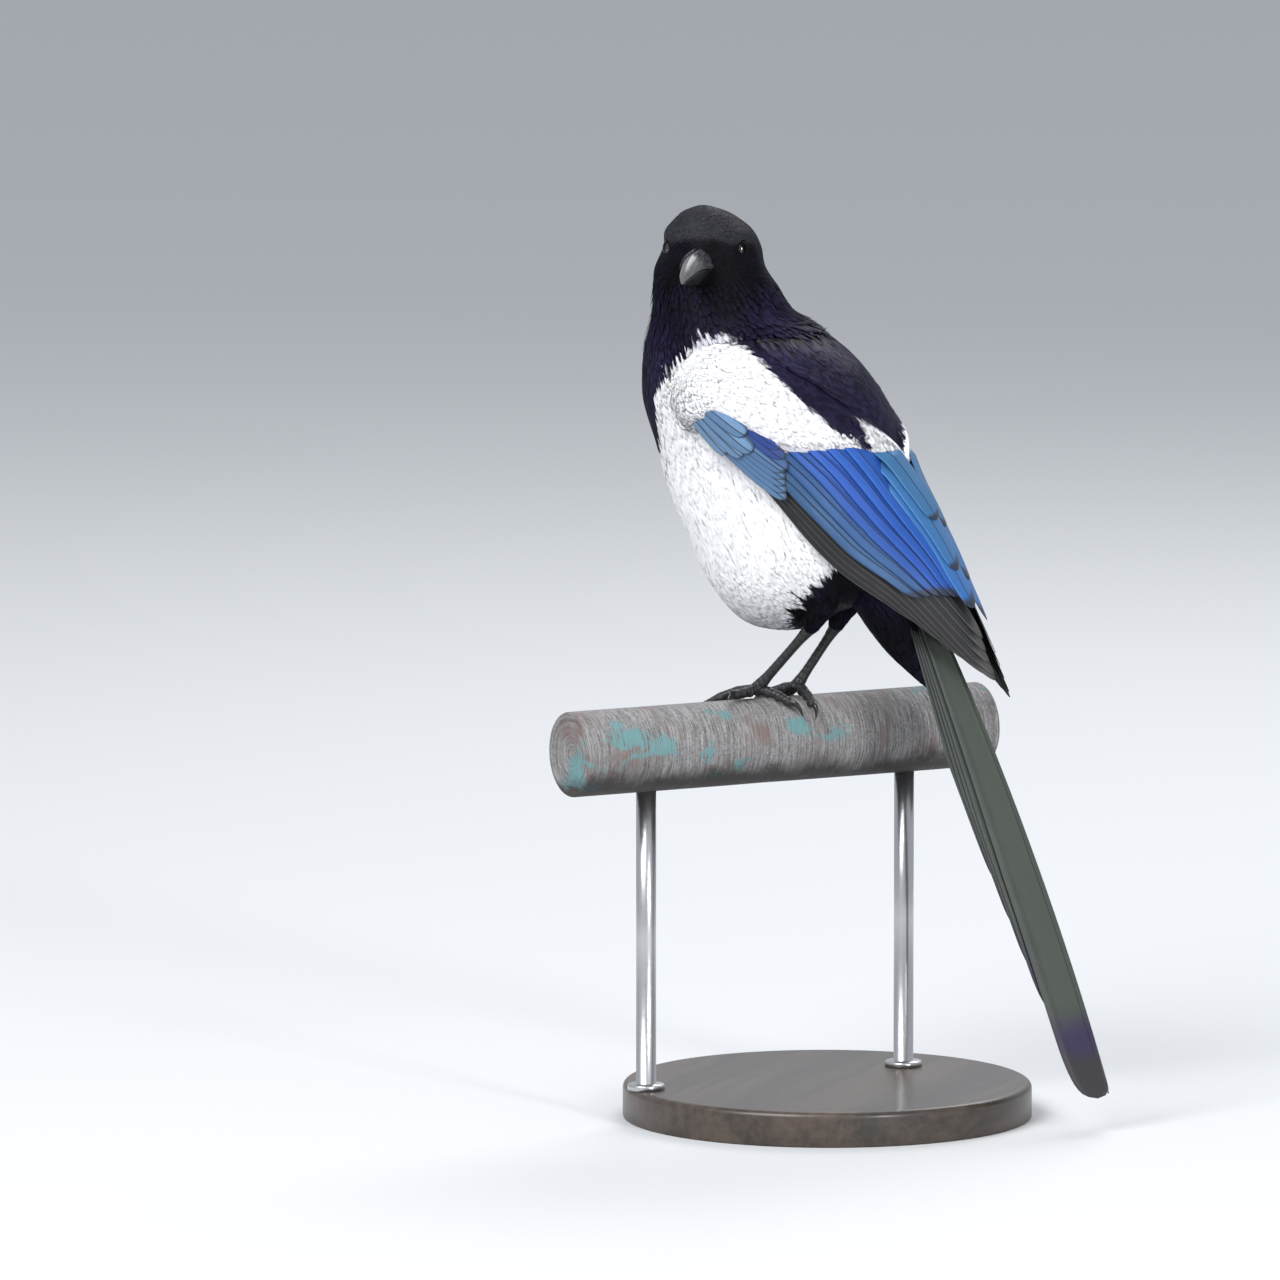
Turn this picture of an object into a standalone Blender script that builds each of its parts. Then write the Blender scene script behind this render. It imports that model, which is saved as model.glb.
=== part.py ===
"""A Eurasian magpie on a cut length of gate tube, as a still, life-size display model.

The bird faces -Y and its left side is +X.  The origin is the centre of the
underside of the stand's base.  Bird dimensions are in millimetres, measured
from the point on top of the perch between the feet, and turned into metres
where a mesh is made.
"""

from math import atan2, cos, hypot, pi, radians, sin, sqrt

import bmesh
import bpy
from mathutils import Vector

MM = 0.001
GAP = 0.3
FLAT_ANGLE = radians(1.5)

# Stand and perch.
PERCH_RADIUS = 17.0
PERCH_LENGTH = 190.0
PERCH_TOP = 168.0
PERCH_TURN = radians(140.0)
FEET_FROM_CENTRE = -22.0
BASE_RADIUS = 82.0
BASE_THICKNESS = 14.0
BASE_BEVEL = 2.5
ROD_RADIUS = 4.0
ROD_SPACING = 120.0

# Torso, neck and head: height, then the middle's Y, and the reach to the bird's
# left, to its right, to the front and to the back.
BODY_SECTIONS = (
    (27.5, 3.0, 6.0, 6.0, 7.0, 7.0),
    (29.0, 3.0, 12.0, 12.0, 13.0, 12.5),
    (33.0, 4.0, 19.5, 19.5, 20.5, 19.0),
    (40.0, 8.0, 27.5, 27.5, 31.0, 30.0),
    (50.0, 12.0, 33.5, 33.5, 42.0, 41.0),
    (64.0, 16.0, 37.0, 37.0, 52.0, 43.0),
    (82.0, 10.0, 38.0, 38.0, 54.5, 45.0),
    (101.0, 2.0, 38.0, 38.0, 52.0, 45.0),
    (118.0, -4.5, 37.0, 37.0, 51.0, 45.0),
    (130.0, -8.0, 36.0, 36.0, 48.0, 43.0),
    (139.0, -12.0, 34.0, 34.0, 43.0, 40.0),
    (148.0, -16.5, 30.5, 30.5, 36.0, 33.5),
    (155.0, -22.0, 26.0, 27.5, 29.5, 28.0),
    (165.0, -25.5, 22.0, 25.5, 26.0, 24.5),
    (172.0, -27.8, 21.0, 25.0, 22.3, 21.8),
    (180.0, -27.8, 20.0, 24.5, 19.6, 20.0),
    (187.0, -27.8, 16.8, 21.0, 16.8, 17.4),
    (192.0, -28.0, 12.0, 15.5, 12.2, 12.8),
    (195.5, -28.3, 6.0, 8.5, 6.6, 6.8),
)
BODY_TOP = 197.0
BODY_BOTTOM = 27.0
NECK_FROM = 145.0
HEAD_FROM = 162.0
BOTTOM_RINGS = (27.5, 29.0, 33.0)
TOP_RINGS = (187.5, 192.0, 195.0)
BODY_COLUMNS = 30
BODY_LEVEL_STEP = 6.5

# Head: where it looks, and its eyes and bill, measured from the head's middle.
HEAD_MIDDLE = Vector((0.0, -28.0, 178.0))
HEAD_TURN = radians(6.0)
EYE_FORWARD = 9.5
EYE_ASIDE = 16.9
EYE_UP = 3.0
EYE_SINK = 3.9
EYE_TURN = radians(24.0)
EYE_RADIUS = 4.6
LID_RADIUS = 0.9
LID_OUT = 3.0
LID_RING = 3.9
BILL_ROOT = 11.0
BILL_DROP = -1.8
BILL_PITCH = radians(-8.0)
BILL_SIDES = 8
BILL_UPPER = ((0.0, 6.0, 7.0, 0.0), (8.0, 5.9, 7.2, 0.0), (17.0, 4.8, 6.6, 0.0),
              (26.0, 3.5, 5.2, 0.4), (34.0, 2.3, 3.6, 1.2), (40.0, 1.1, 1.9, 2.2),
              (42.5, 0.4, 0.7, 3.2))
BILL_LOWER = ((0.0, 5.6, 4.8, 0.0), (8.0, 5.5, 5.0, 0.0), (17.0, 4.4, 4.4, 0.0),
              (26.0, 3.2, 3.4, 0.4), (34.0, 2.0, 2.1, 1.2), (39.0, 0.8, 0.8, 2.0))
NOSTRIL_AT = 13.5
NOSTRIL_RADIUS = 0.8
BRISTLES = 7
BRISTLE_LENGTH = 12.0
BRISTLE_OUTLINE = ((0.0, 1.0), (0.5, 1.0), (0.85, 0.7), (1.0, 0.2))
MOUTH_TURN = radians(52.0)
MOUTH_RADIUS = 0.65

# Wing: place along it from wrist to tip, then the point, for its two edges.
WING_LOWER_EDGE = (
    (0.00, 30.0, -33.0, 136.0),
    (0.10, 38.0, -22.8, 123.0),
    (0.25, 42.0, -3.0, 103.7),
    (0.40, 42.0, 17.8, 85.0),
    (0.57, 39.0, 39.7, 61.5),
    (0.69, 34.0, 58.2, 48.0),
    (0.77, 29.0, 67.9, 39.0),
    (0.91, 20.0, 84.7, 21.6),
    (1.00, 14.0, 96.6, 11.7),
)
WING_UPPER_EDGE = (
    (0.00, 22.0, -22.0, 147.0),
    (0.10, 25.0, -4.0, 147.0),
    (0.25, 18.0, 19.0, 134.0),
    (0.40, 10.0, 41.0, 114.0),
    (0.57, 5.0, 60.0, 90.0),
    (0.69, 4.0, 71.0, 71.0),
    (0.77, 4.5, 78.0, 58.0),
    (0.91, 6.0, 91.0, 34.0),
    (1.00, 8.0, 100.0, 17.0),
)
WING_DEPTH = 7.0
WING_CLEARANCE = 1.0
FAR_WING_DROOP = 9.0
VANE_THICKNESS = 0.55
ROOT_SINK = 2.0
LONG_OUTLINE = ((0.0, 0.45), (0.3, 0.95), (0.6, 1.0), (0.84, 0.95), (0.95, 0.7), (1.0, 0.25))
SHORT_OUTLINE = ((0.0, 0.5), (0.4, 1.0), (0.8, 0.95), (1.0, 0.35))
TAIL_OUTLINE = ((0.0, 0.5), (0.3, 1.0), (0.65, 1.0), (0.9, 0.9), (0.97, 0.65), (1.0, 0.25))
PRIMARY_TIPS = (0.84, 0.96, 1.0, 0.97, 0.92)
TERTIAL_TIPS = (0.70, 0.58)
SECONDARIES = 6
PRIMARY_COVERTS = 4
ALULA = 2
COVERTS = 6

# Tail: the line of its upper face, and its feathers from the middle outward.
TAIL_ROOT = Vector((0.0, 50.0, 50.0))
TAIL_TIP = Vector((0.0, 141.0, -154.0))
TAIL_LENGTHS = (224.0, 205.0, 186.0, 168.0, 150.0, 130.0)
TAIL_STEP = 1.1
TAIL_HALF_WIDTH = 12.0
TAIL_VANE = 0.6
TAIL_SUNK = 8.0
TAIL_PAD = ((-2.0, 9.0, 5.0), (10.0, 13.0, 6.5), (24.0, 13.0, 5.0), (34.0, 11.0, 3.0))
TAIL_COVERTS = ((66.0, 1.3, 3), (46.0, 2.9, 4), (52.0, -9.5, 3), (36.0, -12.5, 4))

# Legs: foot on the perch's top, ankle, and the toes.
LEG_RADIUS = 1.9
TOE_RADIUS = 2.1
TOE_REST = TOE_RADIUS * 1.1 + GAP + 0.1
TOE_STEPS = 6
CLAW_RADII = (1.3, 1.3, 1.15, 0.8, 0.25)
LEFT_FOOT = -8.8
RIGHT_FOOT = 9.7
LEFT_ANKLE = Vector((13.5, 19.5, 30.5))
RIGHT_ANKLE = Vector((-14.5, 20.5, 28.0))
LEFT_THIGH_TOP = Vector((17.0, 26.0, 62.0))
RIGHT_THIGH_TOP = Vector((-17.0, 26.0, 60.0))
# Each toe: mm along the perch and round it, then the same for its claw.
LEFT_TOES = ((-13.0, 3.0, -5.0, 3.0), (-17.0, -18.0, -4.0, -7.0), (-5.0, -20.0, 1.0, -7.0),
             (9.0, 13.0, 4.0, 7.0))
RIGHT_TOES = ((5.0, -20.0, 2.0, -7.0), (-4.0, -23.0, -2.0, -7.0), (-9.0, -14.0, -4.0, -6.0),
              (-0.5, 15.0, -0.3, 7.0))


def clear_scene():
    """Remove whatever objects the file holds."""
    for thing in list(bpy.data.objects):
        bpy.data.objects.remove(thing, do_unlink=True)


def new_collection(name):
    """Make a collection in the scene."""
    group = bpy.data.collections.new(name)
    bpy.context.scene.collection.children.link(group)
    return group


def material(name, colour, roughness, metallic=0.0):
    """Make a Principled material."""
    made = bpy.data.materials.new(name)
    made.use_nodes = True
    shader = made.node_tree.nodes["Principled BSDF"]
    shader.inputs["Base Color"].default_value = (*colour, 1.0)
    shader.inputs["Roughness"].default_value = roughness
    shader.inputs["Metallic"].default_value = metallic
    return made


def sample(rows, place):
    """Read a table of rows (place, values...) on a smooth curve through them."""
    if place <= rows[0][0]:
        return rows[0][1:]
    if place >= rows[-1][0]:
        return rows[-1][1:]
    last = len(rows) - 1
    k = max(i for i in range(last) if rows[i][0] <= place)
    before, start, end, after = rows[max(k - 1, 0)], rows[k], rows[k + 1], rows[min(k + 2, last)]
    span = end[0] - start[0]
    t = (place - start[0]) / span
    values = []
    for a, b, c, d in zip(before[1:], start[1:], end[1:], after[1:]):
        slope_in = (c - a) / (end[0] - before[0]) * span
        slope_out = (d - b) / (after[0] - start[0]) * span
        values.append((2 * t ** 3 - 3 * t ** 2 + 1) * b + (t ** 3 - 2 * t ** 2 + t) * slope_in
                      + (-2 * t ** 3 + 3 * t ** 2) * c + (t ** 3 - t ** 2) * slope_out)
    return values


def smooth_max(a, b, softness):
    """The larger of two lengths, with a soft change from one to the other."""
    return (a + b + sqrt((a - b) ** 2 + softness ** 2)) / 2


def to_world(point):
    """Turn a point measured from the feet, in mm, into metres in the model's frame."""
    return Vector((point[0], point[1] + FEET_FROM_CENTRE, point[2] + PERCH_TOP)) * MM


def body_radius(height, angle, grow=0.0):
    """Distance from the body's middle to its surface; angle 0 is the bird's left."""
    _, left, right, front, back = sample(BODY_SECTIONS, height)
    across = (left if cos(angle) > 0 else right) + grow
    along = (back if sin(angle) > 0 else front) + grow
    return 1.0 / hypot(cos(angle) / across, sin(angle) / along)


def body_point(height, angle, grow=0.0):
    """A point on the body's surface."""
    middle = sample(BODY_SECTIONS, height)[0]
    reach = body_radius(height, angle, grow)
    return Vector((reach * cos(angle), middle + reach * sin(angle), height))


def mesh_object(name, points, faces, group, finish):
    """Make an object from points in mm and faces, with its faces pointing out."""
    mesh = bpy.data.meshes.new(name)
    bm = bmesh.new()
    corners = [bm.verts.new(to_world(p)) for p in points]
    for face in faces:
        bm.faces.new([corners[i] for i in face])
    bmesh.ops.recalc_face_normals(bm, faces=bm.faces)
    bm.to_mesh(mesh)
    bm.free()
    mesh.materials.append(finish)
    made = bpy.data.objects.new(name, mesh)
    group.objects.link(made)
    return made


def loft(name, rings, group, finish, start=None, end=None):
    """Close a surface over rings of equal count; start and end are optional poles."""
    count = len(rings[0])
    points = [p for ring in rings for p in ring]
    faces = []
    for r in range(len(rings) - 1):
        for c in range(count):
            d = (c + 1) % count
            faces.append((r * count + c, r * count + d, (r + 1) * count + d))
            faces.append((r * count + c, (r + 1) * count + d, (r + 1) * count + c))
    for pole, first in ((start, 0), (end, (len(rings) - 1) * count)):
        middle = pole if pole is not None else sum(rings[first // count], Vector()) / count
        points.append(middle)
        for c in range(count):
            faces.append((first + c, first + (c + 1) % count, len(points) - 1))
    return mesh_object(name, points, faces, group, finish)


def tube(name, path, radii, group, finish, sides=8):
    """Loft a round form of changing radius along a path, with flat ends."""
    rings = []
    side = None
    last = len(path) - 1
    for k, radius in enumerate(radii):
        along = (path[min(k + 1, last)] - path[max(k - 1, 0)]).normalized()
        if side is None:
            side = along.orthogonal()
        side = (side - along * side.dot(along)).normalized()
        other = along.cross(side)
        turns = [2 * pi * c / sides for c in range(sides)]
        rings.append([path[k] + (side * cos(t) + other * sin(t)) * radius for t in turns])
    return loft(name, rings, group, finish)


def keep_largest(thing):
    """Keep only the largest closed surface of a mesh."""
    bm = bmesh.new()
    bm.from_mesh(thing.data)
    bmesh.ops.triangulate(bm, faces=bm.faces)
    bm.faces.ensure_lookup_table()
    seen = set()
    shells = []
    for face in bm.faces:
        if face in seen:
            continue
        shell, queue = [], [face]
        seen.add(face)
        while queue:
            here = queue.pop()
            shell.append(here)
            for edge in here.edges:
                for other in edge.link_faces:
                    if other not in seen:
                        seen.add(other)
                        queue.append(other)
        shells.append(shell)
    shells.sort(key=lambda faces: sum(f.calc_area() for f in faces), reverse=True)
    spare = [f for shell in shells[1:] for f in shell]
    bmesh.ops.delete(bm, geom=spare, context="FACES")
    bmesh.ops.dissolve_limit(bm, angle_limit=FLAT_ANGLE, verts=bm.verts, edges=bm.edges)
    bmesh.ops.triangulate(bm, faces=bm.faces, ngon_method="BEAUTY")
    bm.to_mesh(thing.data)
    bm.free()


def apply_boolean(thing, operation, cutter=None, pieces=None, solver="MANIFOLD"):
    """Apply a Boolean with one object or a collection, and drop what was joined."""
    cut = thing.modifiers.new("cut", "BOOLEAN")
    cut.operation = operation
    cut.solver = solver
    if pieces is not None:
        cut.operand_type = "COLLECTION"
        cut.collection = pieces
    else:
        cut.object = cutter
    bpy.context.view_layer.update()
    evaluated = thing.evaluated_get(bpy.context.evaluated_depsgraph_get())
    joined = bpy.data.meshes.new_from_object(evaluated)
    thing.modifiers.remove(cut)
    joined.materials.clear()
    joined.materials.append(thing.data.materials[0])
    thing.data = joined
    keep_largest(thing)


def fuse(core, pieces):
    """Join a collection of closed pieces to a core object, and remove the pieces."""
    apply_boolean(core, "UNION", pieces=pieces)
    for piece in list(pieces.objects):
        bpy.data.objects.remove(piece, do_unlink=True)
    bpy.data.collections.remove(pieces)


def body_levels(low, high):
    """Heights of the body's rings between two parting planes or poles."""
    count = max(2, round((high - low) / BODY_LEVEL_STEP))
    heights = [low + (high - low) * k / count for k in range(count + 1)]
    if low < BODY_BOTTOM + 1:
        heights = list(BOTTOM_RINGS) + [h for h in heights if h > BOTTOM_RINGS[-1] + 3.0]
    if high > BODY_TOP - 1:
        heights = [h for h in heights if h < TOP_RINGS[0] - 3.0] + list(TOP_RINGS)
    return heights


def body_piece(name, low, high, group, finish, grow=0.0):
    """One length of the body between two heights, closed at both."""
    angles = [2 * pi * c / BODY_COLUMNS for c in range(BODY_COLUMNS)]
    heights = body_levels(low, high)
    rings = [[body_point(h, a, grow) for a in angles] for h in heights]
    middles = [sample(BODY_SECTIONS, h)[0] for h in heights]
    start = Vector((0.0, middles[0], BODY_BOTTOM - grow if low < BODY_BOTTOM + 1 else low))
    end = Vector((0.0, middles[-1], BODY_TOP + grow if high > BODY_TOP - 1 else high))
    return loft(name, rings, group, finish, start, end)


def head_axes():
    """The head's forward and left directions."""
    forward = Vector((cos(HEAD_TURN), sin(HEAD_TURN), 0.0))
    left = Vector((-sin(HEAD_TURN), cos(HEAD_TURN), 0.0))
    return forward, left


def head_place(forward_by, left_by, up_by):
    """A point measured in the head's own directions from its middle."""
    forward, left = head_axes()
    return HEAD_MIDDLE + forward * forward_by + left * left_by + Vector((0, 0, up_by))


def bill_axes():
    """The bill's root, its direction and the way up across it."""
    forward, left = head_axes()
    along = (forward * cos(BILL_PITCH) + Vector((0, 0, sin(BILL_PITCH)))).normalized()
    return head_place(BILL_ROOT, 0.0, BILL_DROP), along, along.cross(left)


def bill_point(place, turn, profile, up, grow=0.0):
    """A point on a half of the bill: mm along it and the angle from its left edge."""
    root, along, above = bill_axes()
    half_width, height, droop = sample(profile, place)
    rise = (height + grow) * sin(turn) + GAP / 2
    return (root + along * place - above * droop + above * up * rise
            + head_axes()[1] * (half_width + grow) * cos(turn))


def bill_half(name, up, profile, group, finish, grow=0.0):
    """One half of the bill, above or below the line of the mouth."""
    turns = [pi * c / BILL_SIDES for c in range(BILL_SIDES + 1)]
    rings = [[bill_point(row[0], t, profile, up, grow) for t in turns] for row in profile]
    return loft(name, rings, group, finish)


def bristle(name, turn, lift, group, finish):
    """A flat tapered bristle that lies forward over the bill's root."""
    def place(t, s, level):
        return bill_point(3.0 + BRISTLE_LENGTH * t, turn + s * 0.2, BILL_UPPER, 1,
                          lift + 0.4 * (1 - t) + level)
    return vane(name, place, BRISTLE_OUTLINE, VANE_THICKNESS, group, finish)


def mouth_corner(name, side, group, finish):
    """The tool for the line of the mouth, from the bill back along one cheek."""
    path = []
    for k in range(5):
        turn = HEAD_TURN + side * (0.3 + (MOUTH_TURN - 0.3) * k / 4)
        path.append(body_point(HEAD_MIDDLE.z + BILL_DROP + 0.4 - 0.5 * k, turn))
    return tube(name, path, (MOUTH_RADIUS,) * 4 + (0.3,), group, finish, 6)


def eye_direction(side):
    """Where an eye looks; side is 1 for the bird's left."""
    forward, left = head_axes()
    return (left * side * cos(EYE_TURN) + forward * sin(EYE_TURN)).normalized()


def eye_middle(side):
    """The middle of an eye; side is 1 for the bird's left."""
    return head_place(EYE_FORWARD, side * EYE_ASIDE, EYE_UP) - eye_direction(side) * EYE_SINK


def ball(name, middle, radius, group, finish, segments=14, rings=8):
    """A sphere of flat triangles."""
    mesh = bpy.data.meshes.new(name)
    bm = bmesh.new()
    bmesh.ops.create_uvsphere(bm, u_segments=segments, v_segments=rings, radius=radius * MM)
    bmesh.ops.translate(bm, verts=bm.verts, vec=to_world(middle))
    bm.to_mesh(mesh)
    bm.free()
    mesh.materials.append(finish)
    made = bpy.data.objects.new(name, mesh)
    group.objects.link(made)
    return made


def lid_ring(name, side, group, finish):
    """The raised rim of the lids round one eye."""
    out = eye_direction(side)
    middle = eye_middle(side) + out * LID_OUT
    up = Vector((0, 0, 1))
    forward = up.cross(out)
    count = 14
    rings = []
    for k in range(count):
        turn = 2 * pi * k / count
        spoke = forward * cos(turn) + up * sin(turn)
        centre = middle + spoke * LID_RING
        rings.append([centre + (spoke * cos(a) + out * sin(a)) * LID_RADIUS
                      for a in (2 * pi * c / 6 for c in range(6))])
    points = [p for ring in rings for p in ring]
    faces = []
    for r in range(count):
        for c in range(6):
            a, b = r * 6 + c, r * 6 + (c + 1) % 6
            d, e = (r + 1) % count * 6 + c, (r + 1) % count * 6 + (c + 1) % 6
            faces += [(a, b, e), (a, e, d)]
    return mesh_object(name, points, faces, group, finish)


def wing_base(u, w):
    """The wing's inner face: u runs from wrist to tip, w from the lower edge to the back."""
    low = Vector(sample(WING_LOWER_EDGE, u))
    high = Vector(sample(WING_UPPER_EDGE, u))
    chord = high - low
    point = low + chord * w
    ahead = Vector(sample(WING_LOWER_EDGE, min(u + 0.03, 1.0))) - Vector(
        sample(WING_LOWER_EDGE, max(u - 0.03, 0.0)))
    out = ahead.cross(chord).normalized()
    if out.x < 0:
        out = -out
    point += out * (chord.length * 0.16 * 4 * w * (1 - w)) - out * WING_DEPTH
    if point.z > BODY_BOTTOM + 1:
        middle = sample(BODY_SECTIONS, point.z)[0]
        angle = atan2(point.y - middle, point.x)
        reach = hypot(point.x, point.y - middle)
        least = body_radius(point.z, angle) + WING_CLEARANCE
        reach = smooth_max(reach, least, 1.5)
        point = Vector((reach * cos(angle), middle + reach * sin(angle), point.z))
    return point


def wing_point(side, u, w, lift):
    """A point over the wing's inner face; side is 1 for the bird's left."""
    step = 0.02
    here = wing_base(u, w)
    down_wing = wing_base(min(u + step, 1.0), w) - wing_base(max(u - step, 0.0), w)
    across = wing_base(u, w + step) - wing_base(u, w - step)
    out = down_wing.cross(across).normalized()
    if out.x < 0:
        out = -out
    point = here + out * lift
    if side < 0:
        point = Vector((-point.x, point.y, point.z - FAR_WING_DROOP * u * u))
    return point


def vane(name, place, outline, thickness, group, finish):
    """A thin feather: place(t, s, lift) gives its points, t along and s from -1 to 1 across.

    The outline is rows of place along the feather and relative half width.
    """
    points, faces = [], []
    columns = (-1.0, 0.0, 1.0)
    for t, width in outline:
        for level in (0.0, thickness):
            for s in columns:
                points.append(place(t, s * width, level))
    row = 2 * len(columns)
    last = (len(outline) - 1) * row
    for a in range(0, last, row):
        b = a + row
        for start in (0, 3):
            for j in (0, 1):
                p, q = a + start + j, b + start + j
                faces += [(p, p + 1, q + 1), (p, q + 1, q)]
        for j in (0, 2):
            faces += [(a + j, a + j + 3, b + j + 3), (a + j, b + j + 3, b + j)]
    for end in (0, last):
        faces += [(end, end + 1, end + 4), (end, end + 4, end + 3),
                  (end + 1, end + 2, end + 5), (end + 1, end + 5, end + 4)]
    return mesh_object(name, points, faces, group, finish)


def wing_width(u):
    """The straight distance between a wing's two edges."""
    return (Vector(sample(WING_UPPER_EDGE, u)) - Vector(sample(WING_LOWER_EDGE, u))).length


def wing_vane(name, side, root, tip, half_width, lift, tilt, outline, pieces, finish):
    """A wing feather from root (u, w) to tip (u, w); its lower edge stands tilt higher."""
    def place(t, s, level):
        u = root[0] + (tip[0] - root[0]) * t
        w = root[1] + (tip[1] - root[1]) * t + s * half_width / wing_width(u)
        sink = ROOT_SINK * max(0.0, 1 - t / 0.3)
        return wing_point(side, u, w, lift - sink - tilt * s + level)
    return vane(name, place, outline, VANE_THICKNESS, pieces, finish)


def wing_tiers():
    """Every feather of a wing: root, tip, half width, lift, tilt and outline."""
    feathers = []
    for k, tip_u in enumerate(PRIMARY_TIPS):
        share = k / (len(PRIMARY_TIPS) - 1)
        feathers.append(((0.30 - 0.08 * share, 0.08 + 0.17 * share),
                         (tip_u, 0.10 + 0.66 * share), 5.2, 0.9 + 0.5 * k, 0.6, LONG_OUTLINE))
    for k in range(SECONDARIES):
        share = k / (SECONDARIES - 1)
        feathers.append(((0.28, 0.36 + 0.38 * share), (0.765 + 0.012 * share, 0.32 + 0.56 * share),
                         5.4, 4.9, 0.8, LONG_OUTLINE))
    for k, tip_u in enumerate(TERTIAL_TIPS):
        feathers.append(((0.20, 0.80 + 0.04 * k), (tip_u, 0.84 + 0.06 * k), 5.4,
                         6.5 + 0.9 * k, 0.2, LONG_OUTLINE))
    for k in range(PRIMARY_COVERTS):
        share = k / (PRIMARY_COVERTS - 1)
        feathers.append(((0.12, 0.10 + 0.12 * share), (0.42 - 0.02 * share, 0.08 + 0.18 * share),
                         3.5, 4.6, 0.6, SHORT_OUTLINE))
    for k in range(ALULA):
        feathers.append(((0.05, 0.13 + 0.05 * k), (0.27 - 0.06 * k, 0.06 + 0.07 * k),
                         3.4, 6.1 + 0.8 * k, 0.2, SHORT_OUTLINE))
    for k in range(COVERTS):
        share = k / (COVERTS - 1)
        feathers.append(((0.15, 0.33 + 0.52 * share), (0.45, 0.34 + 0.53 * share),
                         4.8, 7.0, 0.7, SHORT_OUTLINE))
    return feathers


def wing_core(name, side, group, finish):
    """The closed pad of arm, hand and small coverts that the feathers root in."""
    columns = [0.04 + 0.92 * c / 8 for c in range(9)]
    rings = []
    for u, top in ((0.0, 4.0), (0.06, 6.0), (0.12, 7.2), (0.18, 7.4), (0.24, 6.4), (0.30, 4.6),
                   (0.335, 3.2)):
        under = [wing_point(side, u, w, 0.4) for w in columns]
        crown = [max(0.0, 1 - (2 * w - 1) ** 4) for w in columns]
        over = [wing_point(side, u, w, 1.6 + (top - 1.6) * c) for w, c in zip(columns, crown)]
        rings.append(under + over[::-1])
    return loft(name, rings, group, finish)


def wing(name, side, group, finish):
    """A folded wing: the pad with every tier of feathers fused to it."""
    core = wing_core(name, side, group, finish)
    pieces = new_collection(name + "_feathers")
    for k, feather in enumerate(wing_tiers()):
        wing_vane(f"{name}_feather_{k}", side, *feather, pieces, finish)
    fuse(core, pieces)
    return core


def tail_point(along_by, aside, lift):
    """A point in the tail: mm along it, mm to the bird's left, and mm above its middle."""
    along = (TAIL_TIP - TAIL_ROOT).normalized()
    above = Vector((0.0, -along.z, along.y))
    if above.y < 0:
        above = -above
    return TAIL_ROOT + along * along_by + Vector((aside, 0, 0)) + above * lift


def tail_vane(name, reach, middle, half_width, lift, inner, outline, pieces, finish):
    """A tail feather of one length; its middle spreads from the root, and it stops at inner."""
    sign = 1.0 if middle > 0 else -1.0

    def place(t, s, level):
        aside = middle * min(1.0, 0.4 + t) + s * half_width
        if sign * aside < inner:
            aside = sign * inner
        return tail_point(TAIL_SUNK + (reach - TAIL_SUNK) * t, aside, lift + level)
    return vane(name, place, outline, TAIL_VANE, pieces, finish)


def tail_covert(name, reach, aside, lift, pieces, finish):
    """A short feather above or below the tail's root."""
    def place(t, s, level):
        return tail_point(-1.0 + (reach + 1.0) * t, aside * (0.7 + 0.3 * t) + s * 5.2, lift + level)
    return vane(name, place, SHORT_OUTLINE, VANE_THICKNESS, pieces, finish)


def tail(name, group, finish):
    """The closed, stepped tail: twelve feathers, and the coverts above and below its root."""
    turns = [2 * pi * c / 14 for c in range(14)]
    rings = [[tail_point(place, half * cos(t), thick * sin(t) - 2.5) for t in turns]
             for place, half, thick in TAIL_PAD]
    core = loft(name, rings, group, finish)
    pieces = new_collection(name + "_feathers")
    for pair, length in enumerate(TAIL_LENGTHS):
        for side in (1, -1):
            lift = 0.6 - TAIL_STEP * (pair + (0.0 if side > 0 else 0.5))
            inner = 0.25 if pair else -8.0
            tail_vane(f"{name}_feather_{pair}_{side}", length, side * (3.5 + 1.7 * pair),
                      TAIL_HALF_WIDTH, lift, inner, TAIL_OUTLINE, pieces, finish)
    for row, (reach, lift, count) in enumerate(TAIL_COVERTS):
        for k in range(count):
            aside = (k / (count - 1) - 0.5) * 21.0
            tail_covert(f"{name}_covert_{row}_{k}", reach, aside, lift + 0.5 * (k % 2), pieces,
                        finish)
    fuse(core, pieces)
    return core


def perch_directions():
    """The perch's own direction and the level direction across it, to the bird's left."""
    along = Vector((cos(PERCH_TURN), sin(PERCH_TURN), 0.0))
    across = Vector((sin(PERCH_TURN), -cos(PERCH_TURN), 0.0))
    return along, across


def on_perch(along_by, turn, lift):
    """A point over the perch: mm along it, the angle from its top, and mm above it."""
    along, across = perch_directions()
    reach = PERCH_RADIUS + lift
    return (along * along_by + across * reach * sin(turn)
            + Vector((0, 0, reach * cos(turn) - PERCH_RADIUS)))


def leg_hub(foot_at):
    """Where a leg meets its toes, over the perch's top."""
    return on_perch(foot_at, 0.0, TOE_REST + 1.2)


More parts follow.
